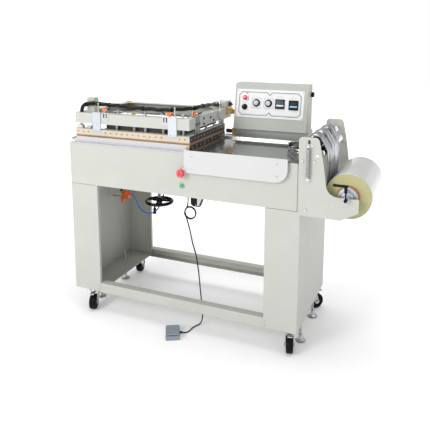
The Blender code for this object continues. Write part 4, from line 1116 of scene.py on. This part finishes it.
def console_buttons():
    """The power button, the lamp above it and the selector."""
    cap = [(0, 13.4), (8.5, 13.2), (12, 12.2), (13.6, 10), (13.9, 6), (13.9, -9), (0, -9)]
    put("power_cap", [on_face(lathe(cap, 48), *POWER_BUTTON)], "power_button", "red_plastic",
        replaces=("power_button",))
    collar = [(14.5, 0.2), (18.5, 0.2), (18.5, 2.0), (16.4, 5.4), (14.5, 5.4)]
    put("power_collar", [on_face(lathe(collar, 48, closed=True), *POWER_BUTTON)])
    lens = [(0, 2.6), (2.0, 2.3), (3.2, 1.2), (3.4, 0.1), (0, 0.1)]
    put("power_lamp", [on_face(lathe(lens, 24), POWER_BUTTON[0] + 9, POWER_BUTTON[1] + 23)], "stand",
        "red_plastic")
    base = [(0, 6), (13.5, 6), (14.8, 4), (15, 0.4), (0, 0.4)]
    grip = slab((-4.2, -13.6, 5.0), (4.2, 13.6, 15.0))
    put("selector_grip", [on_face(lathe(base, 40), *SELECTOR), on_face(grip, *SELECTOR)], "selector",
        "black_plastic", bevel=1.2, steps=3, replaces=("selector_knob",))
    put("selector_pointer", [on_face(slab((-0.7, 3, 15.0), (0.7, 12.4, 15.5)), *SELECTOR)], "selector",
        "panel_white")
    put("selector_marks", ticks(SELECTOR, 16.6, 3, 2.4), "stand", "panel_white", "print_pale")


def console_sides():
    """The black knob on the console's side, the fold across its front and its case screws."""
    low, high = box_mm("control_box")
    knob = [(0, 14), (9.5, 14), (12.4, 12.6), (13, 10), (13, 4), (11, 2.2), (9, 0.3), (0, 0.3)]
    put("side_knob", [turned(knob, (high.x, 491, 1140), RIGHT, 40)], "stand", "black_plastic")
    put("side_knob_collar", [ring(washer(13.4, 16, 0.2, 1.8), (high.x, 491, 1140), RIGHT, 40)])
    folds = [on_face(slab((-192, -0.4, -2.0), (192, 0.4, -1.7)), 927.5, up) for up in (30.0, 33.0)]
    put("console_fold", folds, "stand", "paint")
    put("console_screws", [screw((x, y, z), way, 3.0) for z in (985, 1165) for y in (448, 500)
                           for x, way in ((high.x, RIGHT), (low.x, LEFT))])


def box_under_beam():
    """The sensor box under the beam's front edge, beside the cord's gland."""
    shell = plate([(655, 688.5), (655, 640), (666, 629), (700, 629), (724, 688.5)], "Y", 52, 76)
    put("junction_box", [shell], "stand", "black_plastic", bevel=1.0)
    cover = plate([(690, 688), (690, 634), (699, 634), (720, 686)], "Y", 49.8, 51.8)
    put("junction_box_cover", [cover], "stand", "steel", bevel=0.5)
    put("junction_box_screws", screws([(662, 51.8, 680), (682, 51.8, 636)], FRONT, 2.6))


# --- Film holder ---

ROLL_X = 1395.0
ROLL_Z = 768.0
ROLL_AXIS = (ROLL_X, 0, ROLL_Z)
ROLL_RADIUS = 98.0
PLATE_Y = -3.3
SPRING_X = 1233.0
SPRING_RADIUS = 6.9
SPRING_ENDS = (846.0, 968.0)
SPRING_TURNS = 44
SPRING_WIRE = 1.25


def holder_spring():
    """The tension spring on the front plate, between its slot and its lower bolt."""
    y = PLATE_Y - 9.5
    low, high = SPRING_ENDS
    coil = helix((SPRING_X, y, low), SPRING_RADIUS, high - low, SPRING_TURNS, per_turn=10)
    put("holder_spring", [wire(coil, SPRING_WIRE, 6)])
    angles = [math.pi * i / 10 for i in range(11)]
    hooks = [[Vector((SPRING_X + SPRING_RADIUS * math.cos(a), y, z + way * (4 + SPRING_RADIUS * math.sin(a))))
              for a in angles] for z, way in ((high, 1), (low, -1))]
    put("holder_spring_hooks", [wire(hook, SPRING_WIRE, 6) for hook in hooks])
    opening = [(1228, 988), (1238, 988), (1238, 1001), (1236, 1005), (1230, 1005), (1228, 1001)]
    # The slot is a thin dark plate on the plate's face: painted shade of the opening.
    put("holder_opening_shade", [plate(opening, "Y", PLATE_Y - 0.5, PLATE_Y - 0.1)], "stand", "steel", "dark_steel_and_shade")
    r, tall = 8.5, 12
    bolt = [(0, 0.1), (r, 0.1), (r, 2), (r * 0.7, 2.4), (r * 0.7, tall), (r * 0.86, tall + 0.6),
            (r * 0.8, tall + 4), (0, tall + 4.6)]
    put("holder_spring_bolts", [turned(bolt, (SPRING_X, PLATE_Y, z), FRONT, 28) for z in (981, 838)])


def holder_bolts():
    """The nuts and screws on the two holder plates."""
    heads = [nut((1206, PLATE_Y, 912), FRONT, 7, 4.6), nut((1257, PLATE_Y, 913), FRONT, 7, 4.6)]
    heads += screws([(1345, PLATE_Y, 730), (1383, PLATE_Y, 729), (1421, PLATE_Y, 729)], FRONT, 3.2)
    put("holder_bolts", heads + [nut((1225, PLATE_Y, 700), FRONT, 6, 4)])
    put("rear_holder_bolts", [nut((1232, 543.9, 987), FRONT, 8, 6), nut((1206, 547.6, 912), BACK, 7, 5),
                              nut((1257, 547.6, 913), BACK, 7, 5)])


def film_roll():
    """The wound film: a glossy side, ringed ends and the card core with its wall."""
    low, high = box_mm("film_roll")
    front, back, r = low.y, high.y, ROLL_RADIUS
    side = [(r - 1.2, front + 0.4), (r - 0.2, front + 1.6), (r, front + 6)]
    side += [(r - 0.35 * (i % 2), front + 12 + (back - front - 24) * i / 8) for i in range(9)]
    side += [(r, back - 6), (r - 0.2, back - 1.6), (r - 1.2, back - 0.4), (r - 6, back - 3),
             (r - 6, front + 3)]
    put("film_roll_side", [ring(side, ROLL_AXIS, BACK, 96)], "roll", "film", replaces=("film_roll",),
        smooth=50.0)
    for name, y, way in (("front", front, 1), ("back", back, -1)):
        face = [(48.6, y + way * 5)]
        face += [(48.6 + (r - 50.2) * i / 23, y + way * (0.35 + 0.3 * (i % 2) + 0.25 * math.sin(i)))
                 for i in range(24)]
        face.append((r - 1.4, y + way * 5))
        put("film_roll_end_" + name, [ring(face, ROLL_AXIS, BACK, 96)], "roll", "film", "roll_end",
            smooth=60.0)
    low, high = box_mm("roll_core")
    wall = [(38.4, low.y + 0.8), (39.2, low.y), (47.2, low.y), (48.0, low.y + 0.8), (48.0, high.y - 0.8),
            (47.2, high.y), (39.2, high.y), (38.4, high.y - 0.8)]
    put("card_core", [ring(wall, ROLL_AXIS, BACK, 72)], "roll", "card", replaces=("roll_core",))


def roll_chucks():
    """The roll's shaft with its stepped chucks, and the handle that locks the front one."""
    low, high = box_mm("roll_shaft")
    chuck = [(0, low.y + 1), (11.5, low.y), (12.7, low.y + 1.2), (12.7, 14), (17, 14), (17, 12), (24, 12),
             (24.5, 16), (26, 16), (26, 22), (33, 22), (33.6, 24), (35, 24), (35, 23), (40.5, 23), (42, 24.5),
             (42, 35.4), (38, 35.7), (38, 70), (12.7, 70), (12.7, 365), (38, 365), (38, 399.3), (42, 399.6),
             (42, 410), (12.7, 410), (12.7, high.y - 1), (11.5, high.y), (0, high.y)]
    put("shaft_and_chucks", [turned(chuck, ROLL_AXIS, BACK, 72)], "roll", "chrome", "aluminium",
        replaces=("roll_shaft",), smooth=30.0)
    # A thin dark ring on the chuck's step: painted shade of its groove.
    put("chuck_groove_shade", [ring(washer(27.5, 28.6, 21.5, 21.9), ROLL_AXIS, BACK, 60)], "roll", "chrome",
        "dark_steel_and_shade")
    hub = [(0, 18.4), (6.6, 18.4), (7.4, 19.4), (7.4, 31), (6.4, 32), (0, 32)]
    stem = [(0, 0), (3.2, 0), (3.2, 28), (6.8, 36), (6.8, 66), (0, 68)]
    grip = [(0, -54), (4.6, -53), (6.4, -49), (5.6, -20), (6.2, 0), (6.0, 5), (4.4, 8), (0, 8.6)]
    put("chuck_handle", [turned(hub, ROLL_AXIS, FRONT), turned(stem, (ROLL_X, -26, ROLL_Z), UP, 24),
                         turned(grip, (ROLL_X, -26, ROLL_Z + 61.5), RIGHT, 24)], "lever", "black_plastic",
        replaces=("chuck_lever",))
    put("chuck_clamp_screw", [nut((ROLL_X, 18, ROLL_Z + 30), FRONT, 5, 5)], "roll", look="blue_zinc")


# --- Film web ---

UPPER_ROLLER = (1243.0, 981.0, 26.0)
LOWER_ROLLER = (1270.0, 940.0, 22.0)
WEB_LEFT, WEB_RIGHT = 58.0, 376.0
WEB_STEPS = 150
HUMPS = ((100.0, 42.0), (205.0, 52.0), (322.0, 52.0))
PLEATS = (150.0, 264.0)
PLEAT_STEPS = 28


def arc(centre, radius, start, end, steps):
    """Points on an arc, in degrees."""
    angles = [math.radians(start + (end - start) * i / steps) for i in range(steps + 1)]
    return [(centre[0] + radius * math.cos(a), centre[1] + radius * math.sin(a)) for a in angles]


def web_path():
    """The film's side view: up from the roll, past the lower roller and over the upper one."""
    points = [(ROLL_X - ROLL_RADIUS - 1.0, ROLL_Z + 14 * i) for i in range(11)]
    points += arc(LOWER_ROLLER, LOWER_ROLLER[2] + 1.0, 0, 34, 5)
    points += arc(UPPER_ROLLER, UPPER_ROLLER[2] + 1.2, 36, 196, 26)
    points += [(1215, 968), (1212, 958), (1207, 946), (1200, 934), (1192, 922), (1183, 911), (1172, 903)]
    return [Vector(point) for point in points]


def swell(y):
    """How far the bunched film stands off the upper roller at a place across it."""
    shares = [abs(y - centre) / half for centre, half in HUMPS]
    return max([(1 - share ** 2.6) ** 0.5 for share in shares if share < 1], default=0.0)


def shaded_film_pleats():
    """Folds in the film between its humps, round the upper roller, coloured near black as painted shade of
    their hollows.
    """
    turn = arc(UPPER_ROLLER, UPPER_ROLLER[2] + 3.4, 14, 186, PLEAT_STEPS)
    folds = []
    for k, y in enumerate(PLEATS):
        for side in (-1, 1):
            line = [Vector((x, y + side * (3.0 + 6.0 * i / PLEAT_STEPS) + 2.0 * math.sin(0.5 * i + k), z))
                    for i, (x, z) in enumerate(turn)]
            folds.append(wire(line, lambda i: 1.2 + 4.0 * math.sin(math.pi * i / PLEAT_STEPS), 10))
    return put("shaded_film_pleats", folds, "stand", "film", "film_pleat_shade", smooth=60.0)


def web_row(point, out, j, share):
    """One row of the gathered film, across the machine."""
    over = max(0.0, 1 - abs(j - 30) / 16.0)
    drawn_in = 1.0 - 0.16 * max(0.0, 1 - over * 1.6)
    row = []
    for i in range(WEB_STEPS + 1):
        y = WEB_LEFT + (WEB_RIGHT - WEB_LEFT) * drawn_in * i / WEB_STEPS
        pull = 10.0 * math.sin(0.021 * y + 1.2) * math.sin(math.pi * share)
        lift = 13.0 * min(1.0, 1.5 * over) * swell(y)
        fold = 1.5 + math.sin(0.11 * y + 3.0 * share + 1.6 * math.sin(0.037 * y))
        fold += 0.5 * math.sin(0.27 * y - 5.0 * share)
        loose = 3.2 * (1 - over) * min(1.0, 6 * share + 0.15)
        depth = 0.4 + lift + loose * fold * 0.5 + 0.7 * over * abs(math.sin(0.19 * y + 0.5 * j))
        place = point + out * depth
        row.append((place.x, y + pull * (1 - 0.6 * over), place.y))
    return row


def film_web():
    """The gathered film from the roll over the two rollers, with folds that follow its pull."""
    path = web_path()
    rows = []
    for j, point in enumerate(path):
        ahead = path[min(j + 1, len(path) - 1)] - path[max(j - 1, 0)]
        rows.append(web_row(point, Vector((ahead.y, -ahead.x)).normalized(), j, j / (len(path) - 1)))
    made = put("gathered_film", [sheet_of(rows)], "stand", "film", "film_web", smooth=80.0,
               replaces=("film_web",))
    thicken(made, 0.25)
    shaded_film_pleats()


# --- Handwheel, valve and pedal ---

WHEEL_X, WHEEL_Y, WHEEL_Z = 361.0, 272.0, 553.0
VALVE_Y = 372.0
VALVE_PIPE = 0.45
PEDAL_TURN = -62.0
PEDAL_CENTRE = Vector((600.0, -45.0, 0.0))
BOOT_FOOT = (629.2, -26.2, 10.5)
BOOT_WAY = (8.9, 4.6, -1.0)


def spoke(angle):
    """A spoke of the handwheel that drops a little towards the rim."""
    ends = [Vector((WHEEL_X + r * math.cos(angle), WHEEL_Y + r * math.sin(angle), WHEEL_Z + drop))
            for r, drop in ((8, 5), (24, 3), (44, -1), (67, 0))]
    line = smooth_line(ends, 3.0)
    return wire(line, lambda k: 6.8 - 2.0 * k / len(line), 14)


def handwheel():
    """The handwheel with its round rim, dished spokes, hub, grip and threaded screw."""
    x, y = WHEEL_X, WHEEL_Y
    angles = [2 * math.pi * i / 16 for i in range(16)]
    rim = [(68.5 + 8.6 * math.cos(a), 8.8 * math.sin(a)) for a in angles]
    hub = [(0, 538), (11, 538), (14.5, 540), (16, 543), (16, 570), (14, 573), (10, 576), (0, 576)]
    grip = [(0, 505), (6, 505), (8.6, 507), (9, 511), (7.8, 522), (8.4, 534), (6, 538), (4, 539), (4, 552),
            (0, 552)]
    shapes = [ring(rim, (x, y, WHEEL_Z), UP, 72)]
    shapes += [spoke(math.radians(120 * i + 40)) for i in range(3)]
    shapes += [turned(hub, (x, y, 0), UP, 48), turned(grip, (x + 10, y - 69, 0))]
    put("handwheel_casting", shapes, "handwheel", "black_plastic", "black_gloss", replaces=("handwheel",),
        smooth=50.0)
    thread = stud((x, y, 575), UP, 9.0, box_mm("handwheel")[1].z - 575.5, 4.0)
    collar = [(0, 676), (14, 676), (14, 689.4), (0, 689.4)]
    put("height_screw", [thread, turned(collar, (x, y, 0))], "handwheel", "steel", "zinc")
    bearing = [(14.6, 670), (30, 670), (30, 684), (22, 687.5), (14.6, 687.5)]
    put("screw_bearing", [ring(bearing, (x, y, 0), UP, 40)], "stand", "black_plastic")


def valve_details():
    """The valve's fittings: push-in elbows, a silencer and the plated nipples."""
    y = VALVE_Y
    nipple = [(0, 0), (5, 0), (5, 9), (7, 9), (7, 16), (0, 16)]
    put("valve_nipples", [nut((112, y, 536), RIGHT, 9.5, 6), turned(nipple, (80, y, 548.2), UP, 24),
                          nut((80, y, 552), UP, 8, 6)], "stand", "brass")
    elbow = [(0, 0), (8, 0), (9.2, 2), (9.2, 20), (7.6, 23), (0, 23)]
    elbows = [turned(elbow, (98, y - 18, 541), UP, 28), turned(elbow, (74, y - 15, 509.8), DOWN, 28)]
    put("valve_elbows", elbows, "stand", "orange_plastic")
    silencer = [(0, 0), (7.5, 0), (7.5, 4), (6.4, 5), (6.4, 18), (4, 22), (0, 22)]
    put("valve_silencer", [turned(silencer, (56, y, 548.2), UP, 24)], "stand", "steel", "dark_steel_and_shade")
    put("valve_screws", screws([(82, y - 14, 530), (98, y - 14, 516)], FRONT, 3))


def valve_pipe(valve):
    """The plain metal pipe on the valve's left side."""
    low, high = box_mm("air_valve")
    edge = at(low.x + VALVE_PIPE * (high.x - low.x), 0, 0).x
    valve.data.materials.append(surface("zinc"))
    for face in valve.data.polygons:
        if face.center.x < edge:
            face.material_index = 1


def gland_details():
    """The gland's hexagon where it meets the beam."""
    x, y, _ = middle("cord_gland")
    put("gland_hex", [nut((x, y, 679), UP, 11.6, 7)], "stand", "brass")


def at_pedal(shape):
    """Move a shape made about the pedal's own middle to its place on the floor."""
    return move(shape, Matrix.Rotation(math.radians(PEDAL_TURN), 3, "Z"), PEDAL_CENTRE)


def pedal_details():
    """Grip ribs on the treadle, its hinge pins and the lead's boot on the base."""
    ribs = []
    for i in range(9):
        x = -42 + 9.5 * i
        top = 24 + (x + 48) * 9 / 98
        ribs.append(at_pedal(slab((x, -26, top - 0.8), (x + 4.2, 26, top + 1.3))))
    put("treadle_ribs", ribs, body_of("pedal_treadle"), "pedal_grey", bevel=0.6)
    base = body_of("pedal_base")
    boot = [(0, 0.2), (6.5, 0.2), (6.5, 2.2), (5, 3.4), (4.2, 12), (3.3, 13), (0, 13)]
    made = put("pedal_boot", [turned(boot, BOOT_FOOT, BOOT_WAY, 24)], base, "black_rubber")
    pin = [(0, -1), (4, -1), (4, 1), (0, 1)]
    put("pedal_pins", [at_pedal(turned(pin, (44, side, 16), BACK, 20)) for side in (-34.2, 34.2)], base)
    return made


# --- Everything ---

REPLACED = ("pedal_cord", "cord_coil", "air_hose", "cable_harness", "film_web", "film_roll", "roll_core",
            "roll_shaft", "chuck_lever", "handwheel", "stop_button", "start_button", "power_button",
            "selector_knob", "time_dial_left", "time_dial_right")
# The console's finish is a darker copy of the paint, as painted shade.
LOOKS = {"tray_rail": "rail_steel", "control_box": "console_paint_shaded", "face_plate": "face_white"}


def plain_skins():
    """Softened copies of the CAD nodes that nothing else replaces."""
    skins = {}
    for node in frame["nodes"]:
        if node not in REPLACED and "castor" not in node and "levelling" not in node:
            skins[node] = refine(node, look=LOOKS.get(node))
    valve_pipe(skins["air_valve"])
    return skins


def main():
    """Build everything."""
    studio()
    camera()
    skins = plain_skins()
    pedal_lead([skins["pedal_base"], skins["pedal_treadle"], pedal_details()])
    air_hose()
    for key, angle in CASTOR_ANGLES.items():
        castor(key, angle)
        levelling_foot(key)
    for make in (stand_fixings, beam_strip, lower_bar_trim, tray_details, film_gap, push_buttons, hole_bushes,
                 pin_springs, bar_trim, clamp_screws, head_fittings, head_sides, yellow_brackets, tower_trim,
                 harness, face_border, dials, timers, console_buttons, console_sides, box_under_beam,
                 holder_spring, holder_bolts, film_roll, roll_chucks, film_web, handwheel, valve_details,
                 gland_details):
        make()


main()
